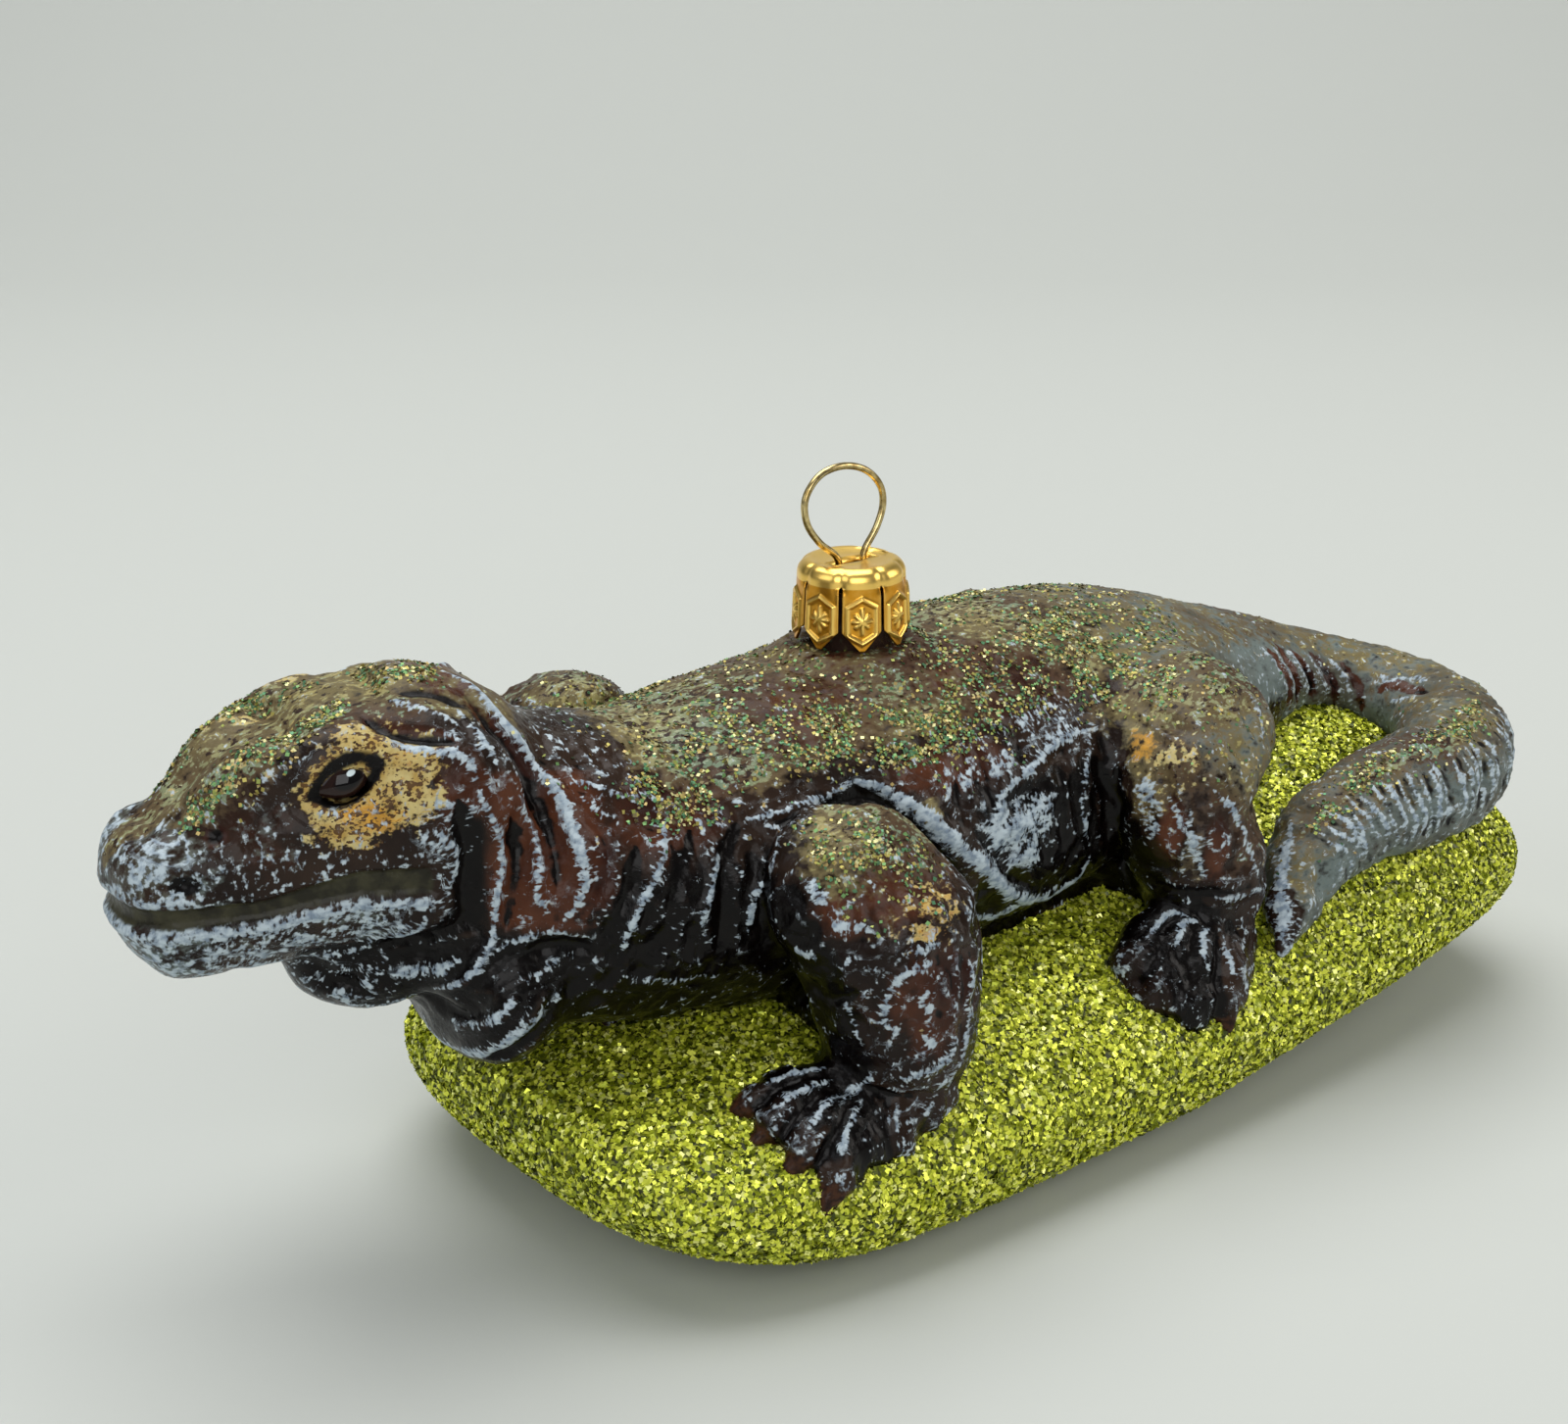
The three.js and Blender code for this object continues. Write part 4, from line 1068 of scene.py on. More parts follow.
def shade_legs(skin):
    """The black inner and front sides of the legs, wider towards the foot, and the paler outer
    sides."""
    z = skin.points[:, 2]
    edges = {"front": ([18, 26, 31, 35, 38, 41], [40, 42, 42, 30, 26, 18]),
             "hind": ([19, 23, 26, 30, 35, 38, 42], [50, 54, 32, 22, 15, 6, -6])}
    for hand in BOTH:
        for place, top in (("front", 40), ("hind", 44)):
            turn, away = leg_turn(skin.points, place, hand)
            beside = np.abs(skin.points[:, 1]) + away * 0.5
            near = smoothstep(15, 12, away) * smoothstep(15, 18, beside)
            edge = np.interp(z, *edges[place])
            dark = smoothstep(edge + 16, edge - 6, turn) * smoothstep(-178, -150, turn)
            skin.add("shade", near * dark * smoothstep(top, top - 4, z))
            skin.add("moss", 0.85 * near * smoothstep(top - 7, top - 1, z)
                     * smoothstep(edge, edge + 16, turn))
            if place == "hind":
                lit = near * smoothstep(24, 29, z) * smoothstep(edge + 4, edge + 18, turn)
                lit = lit * (1 - 0.85 * np.clip(skin.paint["russet"], 0, 1))
                skin.add("slate", 0.5 * lit)
                skin.add("moss", 0.66 * lit)


def shape_tail(skin):
    """Bands over the root of the tail and the row of short pale bars along its curled end."""
    bands, first, pitch = 6, 8.0, 3.3
    for i in range(bands):
        along = first + pitch * i
        hands = BOTH if i < 3 else (1,)
        skin.stroke("tail", [(along - 2.4, 50), (along, 70), (along + 1.2, 96)], 0.6, 0.3, hands,
                    frost=0.62)
        skin.stroke("tail", [(along - 0.9, 50), (along + 1.5, 72), (along + 2.6, 98)], 0.7, -0.3,
                    hands, russet=1.0, shade=0.3)
    skin.stroke("tail", [(33.2, 70), (38.0, 50), (43.2, 30)], 1.0, -0.3, russet=1.0)
    skin.stroke("tail", [(31.0, 60), (36.0, 42), (41.0, 22)], 0.9, 0.2, frost=0.66)
    skin.stroke("tail", [(36.0, 78), (40.0, 66), (44.5, 52)], 0.8, 0.15, frost=0.6)
    along, last, dice = 44.0, 79, skin.dice
    while along < last:
        top = -44 + 1.4 * max(0.0, along - 62) + dice.uniform(-7, 7)
        lean = dice.uniform(-0.4, 0.4)
        bar = [(along, top), (along + lean, top - 24), (along - lean, top - 46), (along, -116)]
        skin.stroke("tail", bar, dice.uniform(0.4, 0.54), 0.2, frost=dice.uniform(0.76, 0.9))
        skin.stroke("tail", [(along + 0.6, top - 6), (along + 0.6, -116)], 0.56, -0.25, shade=1)
        along += dice.uniform(1.15, 1.5)
    skin.stroke("tail", [(77.5, 22), (82.2, 20), (85.1, 15), (87.5, 9), (89.5, 6)], 0.9, 0.15, frost=0.95)
    skin.stroke("tail", [(48.0, -24), (56.0, -26), (62.0, -24), (70.0, -18), (78.0, -10)], 1.5, 0.0,
                sparkle=0.95, moss=0.9)
    x, y, z = skin.points.T
    near = smoothstep(-18.5, -21, y) * smoothstep(34, 36, x) * smoothstep(12, 16, z)
    on_tail = np.maximum(smoothstep(52, 58, x), near)
    skin.add("slate", 0.85 * on_tail)
    top = smoothstep(0.1, 0.65, skin.normals[:, 2])
    skin.add("moss", on_tail * (0.26 + 0.34 * top))
    skin.add("frost", 0.1 * on_tail)
    skin.add("sparkle", 0.1 * on_tail * top)


def wrinkle(skin):
    """Fine folds all over, rows of scales on the back and tail, and what the dry brush catches."""
    x, y, z = skin.points.T
    turn = turned(skin.points, BODY_AXIS)
    own = to_head(skin.points)
    on_head = smoothstep(4, -4, own[:, 0])
    calm = (np.clip(1 - 0.8 * skin.paint["lip"], 0, 1)
            * np.clip(1 - np.abs(skin.lift) * 0.6, 0.25, 1))
    fold = np.empty(len(x))
    scales = np.empty(len(x))
    for i, (px, py, pz) in enumerate(skin.points.tolist()):
        fold[i] = noise.noise((px * 0.34, py * 0.2, pz * 0.2)) + 0.5 * noise.noise(
            (px * 0.75, py * 0.45 + 9, pz * 0.45))
        down = abs(py) - pz
        scales[i] = noise.noise(((px + down) * 0.45, (px - down) * 1.15, pz * 0.3))
    ridged = 1 - np.abs(fold) * 2.2
    loose = smoothstep(-14, -26, x) * (1 - on_head) + smoothstep(15, 18, np.abs(y - 0.5))
    back = smoothstep(80, 50, turn) * (1 - on_head)
    depth = (0.24 + 0.14 * np.clip(loose, 0, 1)) * calm
    skin.lift += depth * (1 - 0.45 * on_head) * (1 - 0.5 * back) * ridged
    scaly = np.maximum(back, smoothstep(50, 56, x))
    scaly = np.maximum(scaly, smoothstep(-19, -22, y) * smoothstep(38, 42, x))
    skin.lift += 0.17 * scales * (0.2 + 0.8 * scaly)
    dry = (0.3 * (1 - 0.7 * skin.paint["shade"]) * (1 - 0.85 * skin.paint["moss"])
           * (1 - skin.paint["lip"]))
    clear_of_cap = smoothstep(9, 16, np.hypot(x, y))
    skin.add("frost", dry * (1 - 0.5 * skin.paint["ochre"]) * clear_of_cap)
    skin.paint["frost"] *= 1 - skin.bare


def build_skin():
    """The skin with every fold and paint, and the piece made of it."""
    skin = Skin(DragonShape())
    for step in (shape_head, shape_eye_rims, shape_throat, shape_shoulder, shape_legs, shape_toes,
                 shape_tail, shade_legs, paint_head, paint_body, wrinkle):
        step(skin)
    skin.settle_relief()
    made = mesh_object("dragon_skin", skin.points, skin.quads.tolist())
    bulge = skin.bulge(10)
    calm = (1 - 0.9 * skin.paint["moss"]) * (1 - 0.8 * skin.paint["slate"])
    # Painted shade: black is added in the hollows, where shade falls, least where moss or slate lies.
    skin.add("shade", 0.6 * smoothstep(0.05, 0.16, -bulge) * np.clip(calm, 0, 1))
    add_attribute(made, "bulge", np.clip(0.5 + bulge * 4, 0, 1))
    add_attribute(made, "brush", skin.brush)
    for name in Skin.masks:
        add_attribute(made, name, skin.paint[name])
    return skin, made


# ---- finishes ----
FIRST, SECOND, MIXED = 6, 7, 2   # a Mix node's two colours and the one that it gives


def skin_material():
    """Painted blown glass: glossy lacquers under dry-brushed paint. The dark coats shine like
    wet varnish and the dragged pale paint lies over them, dull and broken."""
    material, tree = new_material("lacquered_blown_glass")
    paint = colours()
    in_mm = in_millimetres(tree)
    drawn_out = node(tree, "ShaderNodeVectorMath", {0: in_mm, 1: (0.62, 1, 1)},
                     operation="MULTIPLY").outputs[0]
    read = {name: node(tree, "ShaderNodeAttribute", attribute_name=name).outputs["Fac"]
            for name in Skin.masks + ("bulge",)}
    brush = node(tree, "ShaderNodeAttribute", attribute_name="brush").outputs["Vector"]
    # Sizes of the noises: regions of about 14 mm, blotches of 7 mm, dabs of 1.5 mm, flecks of
    # 0.6 mm, and grains and bristle marks of 0.35 mm, which is as coarse as they need to show.
    region, blotch, dab, fleck, grain, bristle = (
        node(tree, "ShaderNodeTexNoise", {"Vector": where, "Scale": scale, "Detail": detail}
             ).outputs["Fac"]
        for where, scale, detail in (
            (in_mm, 0.07, 1.0), (in_mm, 0.14, 3.0), (in_mm, 0.65, 4.0),
            (drawn_out, 1.7, 3.0), (drawn_out, 3.1, 2.0), (brush, 2.8, 3.0)))

    def ragged(mask, parts, low, high):
        """A mask with its edge broken up by noises: parts are (noise, amount)."""
        total = mask
        for texture, amount in parts:
            shifted = node(tree, "ShaderNodeMath", {0: texture, 1: -0.5}, operation="ADD").outputs[0]
            total = node(tree, "ShaderNodeMath", {0: shifted, 1: amount, 2: total},
                         operation="MULTIPLY_ADD").outputs[0]
        return node(tree, "ShaderNodeMapRange", {"Value": total, "From Min": low, "From Max": high},
                    interpolation_type="SMOOTHSTEP").outputs["Result"]

    # The coats from the first to the last: mask, the noises that fray its edge, where it starts
    # and where it covers, its two tones, and the noise between them.
    coats = (
        ("russet", ((dab, 0.9), (blotch, 1.2)), 0.2, 0.85, paint.russet, "#2c1610", blotch),
        ("slate", ((dab, 1.4), (fleck, 1.2)), 0.3, 0.85, "#6a7572", "#54544a", blotch),
        ("moss", ((dab, 1.6), (fleck, 1.0)), 0.3, 0.8, paint.moss, "#4a3627", region),
        ("moss", ((fleck, 2.0), (dab, 1.8)), 0.9, 1.1, "#978c5a", "#6f7f68", region),
        ("moss", ((grain, 2.2), (dab, 1.0)), 1.16, 1.36, "#aca884", "#90a28e", blotch),
        ("moss", ((fleck, -2.6), (dab, 0.8)), 1.12, 1.24, "#221510", "#30211a", dab),
        ("ochre", ((dab, 1.8), (fleck, 1.6)), 0.44, 0.68, paint.ochre, "#bfae74", dab),
        ("amber", ((dab, 1.6), (fleck, 1.4)), 0.4, 0.8, "#d09a35", "#a87c34", fleck),
        ("ochre", ((grain, 2.8), (fleck, 2.2)), 0.93, 1.1, "#33221a", "#5c4224", fleck),
        ("shade", ((dab, 1.0), (read["bulge"], -0.5)), 0.3, 0.75, "#040202", "#0a0605", dab),
        ("frost", ((bristle, 2.0), (dab, 1.1), (fleck, 1.3), (read["bulge"], 0.5)),
         0.48, 0.84, paint.frost, "#b4c1c8", fleck),
        ("claw", ((dab, 0.8),), 0.4, 0.7, "#412718", "#23130d", fleck),
        ("lip", ((dab, 0.5),), 0.35, 0.75, "#26241b", "#3c3a2a", dab),
    )

    def mottled(first, second, texture):
        """Two tones of one paint, laid by the middle of a noise's range."""
        spread = node(tree, "ShaderNodeMapRange", {"Value": texture, "From Min": 0.38, "From Max": 0.62})
        return node(tree, "ShaderNodeMix", {
            "Factor": spread.outputs["Result"], FIRST: linear(first), SECOND: linear(second)},
            data_type="RGBA").outputs[MIXED]

    colour = mottled(paint.umber, "#2f221a", blotch)
    dull = 0.0
    for name, parts, low, high, first, second, texture in coats:
        mask = ragged(read[name], parts, low, high)
        colour = node(tree, "ShaderNodeMix", {
            "Factor": mask, FIRST: colour, SECOND: mottled(first, second, texture)},
            data_type="RGBA").outputs[MIXED]
        if name in ("frost", "moss", "ochre", "slate"):
            dull = node(tree, "ShaderNodeMath", {0: mask, 1: dull}, operation="MAXIMUM").outputs[0]
    rough = node(tree, "ShaderNodeMapRange", {"Value": dull, "To Min": 0.26, "To Max": 0.52}
                 ).outputs["Result"]
    # Scale texture: cells of about 0.8 mm, and brush marks.
    cells = node(tree, "ShaderNodeTexVoronoi", {"Vector": in_mm, "Scale": 1.25}).outputs["Distance"]
    height = dab
    for texture, amount in ((cells, -0.35), (bristle, 0.35)):
        height = node(tree, "ShaderNodeMath", {0: texture, 1: amount, 2: height},
                      operation="MULTIPLY_ADD").outputs[0]
    bump = node(tree, "ShaderNodeBump", {"Height": height, "Strength": 0.4, "Distance": 0.0003})
    shader = node(tree, "ShaderNodeBsdfPrincipled", {
        "Base Color": colour, "Roughness": rough, "Normal": bump.outputs["Normal"], "IOR": 1.5,
        "Specular IOR Level": 0.13, "Coat Weight": 0.05, "Coat Roughness": 0.12})
    node(tree, "ShaderNodeOutputMaterial", {"Surface": shader.outputs[0]})
    return material


def flake_material(name, tints, metallic, roughness):
    """Cut metallised film: each flake is a small flat mirror, somewhat dulled, in one of the
    tints."""
    material, tree = new_material(name)
    tint = node(tree, "ShaderNodeAttribute", attribute_name="tint").outputs["Fac"]
    ramp = node(tree, "ShaderNodeValToRGB", {"Fac": tint})
    ramp.color_ramp.interpolation = "CONSTANT"
    elements = ramp.color_ramp.elements
    while len(elements) < len(tints):
        elements.new(0.5)
    for i, tone in enumerate(tints):
        elements[i].position = i / len(tints)
        elements[i].color = linear(tone)
    shader = node(tree, "ShaderNodeBsdfPrincipled", {
        "Base Color": ramp.outputs["Color"], "Metallic": metallic, "Roughness": roughness})
    node(tree, "ShaderNodeOutputMaterial", {"Surface": shader.outputs[0]})
    return material


def mound_material():
    """Glass under glitter: varnish crowded with fine flakes, seen between the larger ones."""
    material, tree = new_material("glitter_coated_glass")
    in_mm = in_millimetres(tree)
    # Grains 0.35 mm across.
    grain = node(tree, "ShaderNodeTexVoronoi", {"Vector": in_mm, "Scale": 2.8})
    bright = node(tree, "ShaderNodeSeparateColor", {0: grain.outputs["Color"]})
    spread = node(tree, "ShaderNodeMapRange", {
        "Value": bright.outputs["Red"], "From Min": 0.15, "From Max": 0.95})
    colour = node(tree, "ShaderNodeMix", {
        "Factor": spread.outputs["Result"], FIRST: linear("#2c3208"), SECOND: linear("#98a020")},
        data_type="RGBA").outputs[MIXED]
    bump = node(tree, "ShaderNodeBump", {
        "Height": bright.outputs["Green"], "Strength": 0.9, "Distance": 0.0002})
    shader = node(tree, "ShaderNodeBsdfPrincipled", {
        "Base Color": colour, "Metallic": 0.1, "Roughness": 0.5, "Normal": bump.outputs["Normal"]})
    node(tree, "ShaderNodeOutputMaterial", {"Surface": shader.outputs[0]})
    return material


def wire_material():
    """Drawn brass wire: bright and smooth, with spots of tarnish under 1 mm across that are
    darker and duller."""
    material, tree = new_material("drawn_brass_wire")
    in_mm = in_millimetres(tree)
    wear = node(tree, "ShaderNodeTexNoise", {"Vector": in_mm, "Scale": 1.3, "Detail": 4.0}
                ).outputs["Fac"]
    spread = node(tree, "ShaderNodeMapRange", {"Value": wear, "From Min": 0.35, "From Max": 0.7})
    colour = node(tree, "ShaderNodeMix", {
        "Factor": spread.outputs["Result"], FIRST: linear(colours().brass),
        SECOND: linear("#8d7440")}, data_type="RGBA").outputs[MIXED]
    rough = node(tree, "ShaderNodeMapRange", {"Value": wear, "To Min": 0.16, "To Max": 0.28}
                 ).outputs["Result"]
    shader = node(tree, "ShaderNodeBsdfPrincipled", {
        "Base Color": colour, "Metallic": 1.0, "Roughness": rough})
    node(tree, "ShaderNodeOutputMaterial", {"Surface": shader.outputs[0]})
    return material


def pressed_gold_material():
    """Gold-anodised pressed tin, with painted light: the raised pattern gets a brighter gold and the flat
    parts a darker one, as light catches the pattern.
    """
    material, tree = new_material("gold_anodised_pressed_tin")
    in_mm = in_millimetres(tree)
    wear = node(tree, "ShaderNodeTexNoise", {"Vector": in_mm, "Scale": 1.3, "Detail": 4.0}
                ).outputs["Fac"]
    # Painted highlight and shade: the further the pressed pattern stands out, the brighter the gold; the
    # flat parts are darker.
    raised_highlight = node(tree, "ShaderNodeAttribute", attribute_name="raised_highlight").outputs["Fac"]
    lit = node(tree, "ShaderNodeMath", {0: wear, 1: 0.4, 2: raised_highlight},
               operation="MULTIPLY_ADD").outputs[0]
    spread = node(tree, "ShaderNodeMapRange", {"Value": lit, "From Min": 0.15, "From Max": 0.75})
    colour = node(tree, "ShaderNodeMix", {
        "Factor": spread.outputs["Result"], FIRST: linear("#d8962a"),
        SECOND: linear(colours().gold)}, data_type="RGBA").outputs[MIXED]
    shader = node(tree, "ShaderNodeBsdfPrincipled", {
        "Base Color": colour, "Metallic": 1.0, "Roughness": 0.28})
    node(tree, "ShaderNodeOutputMaterial", {"Surface": shader.outputs[0]})
    return material


def eye_material():
    """Glossy eye enamel, as smooth as varnish: near-black brown with a black pupil and a painted
    highlight, a dot of white where a lamp's reflection would show."""
    material, tree = new_material("gloss_eye_enamel")
    gaze = node(tree, "ShaderNodeAttribute", attribute_name="gaze").outputs["Vector"]
    pupil = node(tree, "ShaderNodeVectorMath", {0: gaze, 1: (0.02, 0.0, 0.05)}, operation="DISTANCE")
    # Painted highlight: a small white dot high on the eye, where a lamp's reflection would show.
    highlight_gap = node(tree, "ShaderNodeVectorMath", {0: gaze, 1: (0.18, 0.0, 0.34)}, operation="DISTANCE")
    rim = node(tree, "ShaderNodeMapRange", {
        "Value": pupil.outputs["Value"], "From Min": 0.36, "From Max": 0.52})
    colour = node(tree, "ShaderNodeMix", {
        "Factor": rim.outputs["Result"], FIRST: linear("#050304"), SECOND: linear("#22130f")},
        data_type="RGBA").outputs[MIXED]
    white = node(tree, "ShaderNodeMapRange", {
        "Value": highlight_gap.outputs["Value"], "From Min": 0.16, "From Max": 0.12})
    colour = node(tree, "ShaderNodeMix", {
        "Factor": white.outputs["Result"], FIRST: colour, SECOND: linear("#cfdde0")},
        data_type="RGBA").outputs[MIXED]
    shader = node(tree, "ShaderNodeBsdfPrincipled", {
        "Base Color": colour, "Roughness": 0.06, "Specular IOR Level": 0.3})
    node(tree, "ShaderNodeOutputMaterial", {"Surface": shader.outputs[0]})
    return material


# ---- glitter ----
def scatter(points, quads, weights, count, dice):
    """Random spots on the faces, as many for their area and weight, with the faces' normals."""
    a, b, c, d = (points[quads[:, i]] for i in range(4))
    flat = np.cross(c - a, d - b) / 2
    area = np.linalg.norm(flat, axis=1)
    odds = area * weights[quads].mean(1)
    chosen = dice.choice(len(quads), count, p=odds / odds.sum())
    u, v = dice.random((2, count, 1))
    spots = ((a[chosen] * (1 - u) + b[chosen] * u) * (1 - v)
             + (d[chosen] * (1 - u) + c[chosen] * u) * v)
    return spots, flat[chosen] / area[chosen][:, None]


def flakes(name, spots, normals, width, tilt, rise, dice):
    """Square flakes joined in one mesh, none below the table. They lean at random by about
    `tilt` radians and stand off the surface by about `rise` millimetres."""
    count = len(spots)
    lean = normals + dice.normal(0, tilt, (count, 3))
    lean /= np.linalg.norm(lean, axis=1, keepdims=True)
    side = np.cross(lean, dice.normal(0, 1, (count, 3)))
    side /= np.linalg.norm(side, axis=1, keepdims=True)
    other = np.cross(lean, side)
    half = width / 2 * dice.uniform(0.7, 1.3, (count, 1))
    middle = spots + normals * rise * dice.uniform(0.3, 1.2, (count, 1))
    corners = np.stack([middle + half * (i * side + j * other)
                        for i, j in ((-1, -1), (1, -1), (1, 1), (-1, 1))], 1)
    table = -ORIGIN[2] / MM
    lowest = corners[:, :, 2].min(1)
    corners[:, :, 2] += np.maximum(table - lowest, 0)[:, None]
    made = mesh_object(name, corners.reshape(-1, 3), np.arange(4 * count).reshape(-1, 4).tolist())
    made.data.polygons.foreach_set("use_smooth", np.zeros(count, bool))
    add_attribute(made, "tint", np.repeat(dice.random(count), 4))
    unwrap_roots(made, spots)
    return made


def unwrap_roots(made, spots):
    """Gives each flake its own small patch, at its root's place on a wrap round the long axis
    that leaves a margin all round the sheet."""
    patch = 0.003
    low, high = spots.min(0), spots.max(0)
    u = 0.02 + 0.96 * (spots[:, 0] - low[0]) / (high[0] - low[0])
    middle = (low + high) / 2
    v = 0.5 + 0.48 * np.arctan2(spots[:, 1] - middle[1], spots[:, 2] - middle[2]) / np.pi
    corner = np.array([(-0.5, -0.5), (0.5, -0.5), (0.5, 0.5), (-0.5, 0.5)]) * patch
    layer = made.data.uv_layers.new(name="OFBake")
    layer.data.foreach_set("uv", (np.stack([u, v], 1)[:, None] + corner).ravel())


# ---- pieces ----
class ORNAMENT_OT_skin(bpy.types.Operator):
    """Build the dragon's painted skin and the fine glitter on it"""
    bl_idname = "ornament.skin"
    bl_label = "Dragon skin"

    def execute(self, context):
        skin, made = build_skin()
        made.data.materials.append(skin_material())
        settle(made, "painted_glass", *TORSO_NODES, *LEG_NODES, *FOOT_NODES)
        dice = np.random.default_rng(DUST_SEED)
        sparkle = np.clip(skin.paint["sparkle"] * (1 - skin.paint["shade"]), 0, 1) ** 2
        # The glitter lies in drifts of about 2 mm.
        pace = 0.45
        clump = np.array([noise.noise((x * pace, y * pace, z * pace))
                          for x, y, z in skin.points.tolist()])
        sparkle *= smoothstep(-0.45, 0.35, clump)
        spots, normals = scatter(skin.points, skin.quads, sparkle, sizes().dusting, dice)
        dust = flakes("dragon_glitter", spots, normals, sizes().dust, tilt=0.35, rise=0.08,
                      dice=dice)
        tones = ("#a89c50", "#6c9458", "#a8925a", "#50805a", "#8c9448", "#5e5432", "#d0ca90",
                 "#507452")
        dust.data.materials.append(flake_material("iridescent_fine_glitter", tones,
                                                  metallic=0.5, roughness=0.38))
        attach(dust, "root")
        return {"FINISHED"}


class ORNAMENT_OT_eyes(bpy.types.Operator):
    """Build both glossy eyes"""
    bl_idname = "ornament.eyes"
    bl_label = "Eyes"

    def execute(self, context):
        material = eye_material()
        rings, sides = 24, 40
        for hand, side in zip(BOTH, SIDES):
            gaze = [(0.0, 1.0, 0.0)]
            for ring in range(1, rings):
                polar = math.pi * ring / rings
                for step in range(sides):
                    turn = 2 * math.pi * step / sides
                    gaze.append((math.sin(polar) * math.cos(turn), math.cos(polar),
                                 math.sin(polar) * math.sin(turn)))
            gaze.append((0.0, -1.0, 0.0))
            gaze = np.array(gaze)
            # An almond: the eye comes to a point in front and behind.
            pointed = np.sqrt(np.clip(1 - gaze[:, 0] ** 2, 0, 1))
            along = gaze[:, 0] * EYE_SIZE[0]
            out = gaze[:, 1] * pointed * EYE_SIZE[1]
            up = gaze[:, 2] * EYE_SIZE[2] * pointed
            own = EYE_AT * (1, -hand, 1) + np.stack([
                along * math.cos(EYE_TILT) - up * math.sin(EYE_TILT), -hand * (out - 0.27 * up),
                along * math.sin(EYE_TILT) + up * math.cos(EYE_TILT)], 1)
            faces = [[0, 1 + (s + 1) % sides, 1 + s] for s in range(sides)]
            for ring in range(rings - 2):
                first = 1 + ring * sides
                faces += [[first + s, first + (s + 1) % sides, first + sides + (s + 1) % sides,
                           first + sides + s] for s in range(sides)]
            last = 1 + (rings - 2) * sides
            faces += [[len(gaze) - 1, last + s, last + (s + 1) % sides] for s in range(sides)]
            if hand == 1:
                faces = [face[::-1] for face in faces]
            made = mesh_object(f"eye_{side}_enamel", from_head(own), faces)
            # The back of the eye is sent far off, so that the pupil shows on the front only.
            add_attribute(made, "gaze", gaze * (1, 0, 1) + (gaze[:, 1:2] < 0) * (0, 9, 0))
            made.data.materials.append(material)
            settle(made, "eye_lacquer", f"eye_{side}")
        return {"FINISHED"}


class ORNAMENT_OT_mound(bpy.types.Operator):
    """Build the mound and its coat of chartreuse glitter"""
    bl_idname = "ornament.mound"
    bl_label = "Mound"

    def execute(self, context):
        low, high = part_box("mound")
        low, high = (np.array(low) - ORIGIN) / MM, (np.array(high) - ORIGIN) / MM
        margin, cell = 4, 0.8
        field = Field(low - margin, high + margin, cell)
        values = field.softened_nodes(("mound",), 7.0, 1.5, 0)
        values = np.maximum(values, low[2] - field.axes()[2])
        points, quads = field.surface(values)
        made = mesh_object("mound_glass", points, quads.tolist())
        made.data.materials.append(mound_material())
        settle(made, "glitter_glass", "mound")
        dice = np.random.default_rng(MOUND_SEED)
        shares = 2
        tones = (colours().glitter, "#eef05a", "#8f9a20", "#f8fa90", "#3a4206", "#dce24a", "#a8b226",
                 "#e6ec4c", "#727c12")
        coat = flake_material("chartreuse_film_glitter", tones, metallic=0.4, roughness=0.28)
        for share in range(shares):
            spots, normals = scatter(points, quads, np.ones(len(points)), sizes().flakes // shares,
                                     dice)
            piece = flakes(f"mound_glitter_{share + 1}", spots, normals, sizes().flake, tilt=0.42,
                           rise=0.16, dice=dice)
            piece.data.materials.append(coat)
            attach(piece, "root")
        return {"FINISHED"}


def tube_faces(bands, sides):
    """The four-sided faces between the rings of a tube."""
    return [[i * sides + s, i * sides + (s + 1) % sides, (i + 1) * sides + (s + 1) % sides,
             (i + 1) * sides + s] for i in range(bands) for s in range(sides)]


def swept(line, radius, sides):
    """A round wire with flat ends along a line of points."""
    line = np.asarray(line, float)
    count = len(line)
    tangents = np.gradient(line, axis=0)
    tangents /= np.linalg.norm(tangents, axis=1, keepdims=True)
    points = []
    across = np.array([0.0, 1.0, 0.0])
    for middle, tangent in zip(line, tangents):
        other = np.cross(tangent, across)
        other /= np.linalg.norm(other)
        for step in range(sides):
            turn = 2 * math.pi * step / sides
            points.append(middle + radius * (math.cos(turn) * across + math.sin(turn) * other))
    faces = tube_faces(count - 1, sides)
    faces.append(list(range(sides))[::-1])
    faces.append([(count - 1) * sides + s for s in range(sides)])
    return np.array(points), faces


class ORNAMENT_OT_hanger(bpy.types.Operator):
    """Build the crown cap, the glass neck inside it and the sprung wire ring"""
    bl_idname = "ornament.hanger"
    bl_label = "Cap and ring"

    def execute(self, context):
        made = crown_cap()
        made.data.materials.append(pressed_gold_material())
        settle(made, "gold_cap", "cap_crown")
        points, faces = swept(ring_line(), radius=0.36, sides=16)
        made = mesh_object("hanger_wire", points, faces)
        made.data.materials.append(wire_material())
        settle(made, "ring_wire", "hanger_ring")
        made = glass_pike()
        made.data.materials.append(pike_material())
        settle(made, "bare_glass", "glass_neck")
        return {"FINISHED"}


def ring_line():
    """The wire's middle line: a near-full bow that leans back, its ends down in the slot."""
    crown = CAP_SEAT + CAP_HEIGHT
    route = ((1.9, -2.8), (1.5, -1.0), (1.8, 0.4), (3.3, 2.4), (4.1, 4.6), (3.6, 6.7), (1.6, 8.5),
             (-1.3, 9.3), (-4.2, 8.8), (-6.0, 6.8), (-5.8, 4.3), (-4.2, 2.1), (-2.1, 0.4),
             (-1.6, -1.0), (-1.9, -2.8))
    return curve_through([(x, 0, crown + z) for x, z in route], 0.35)


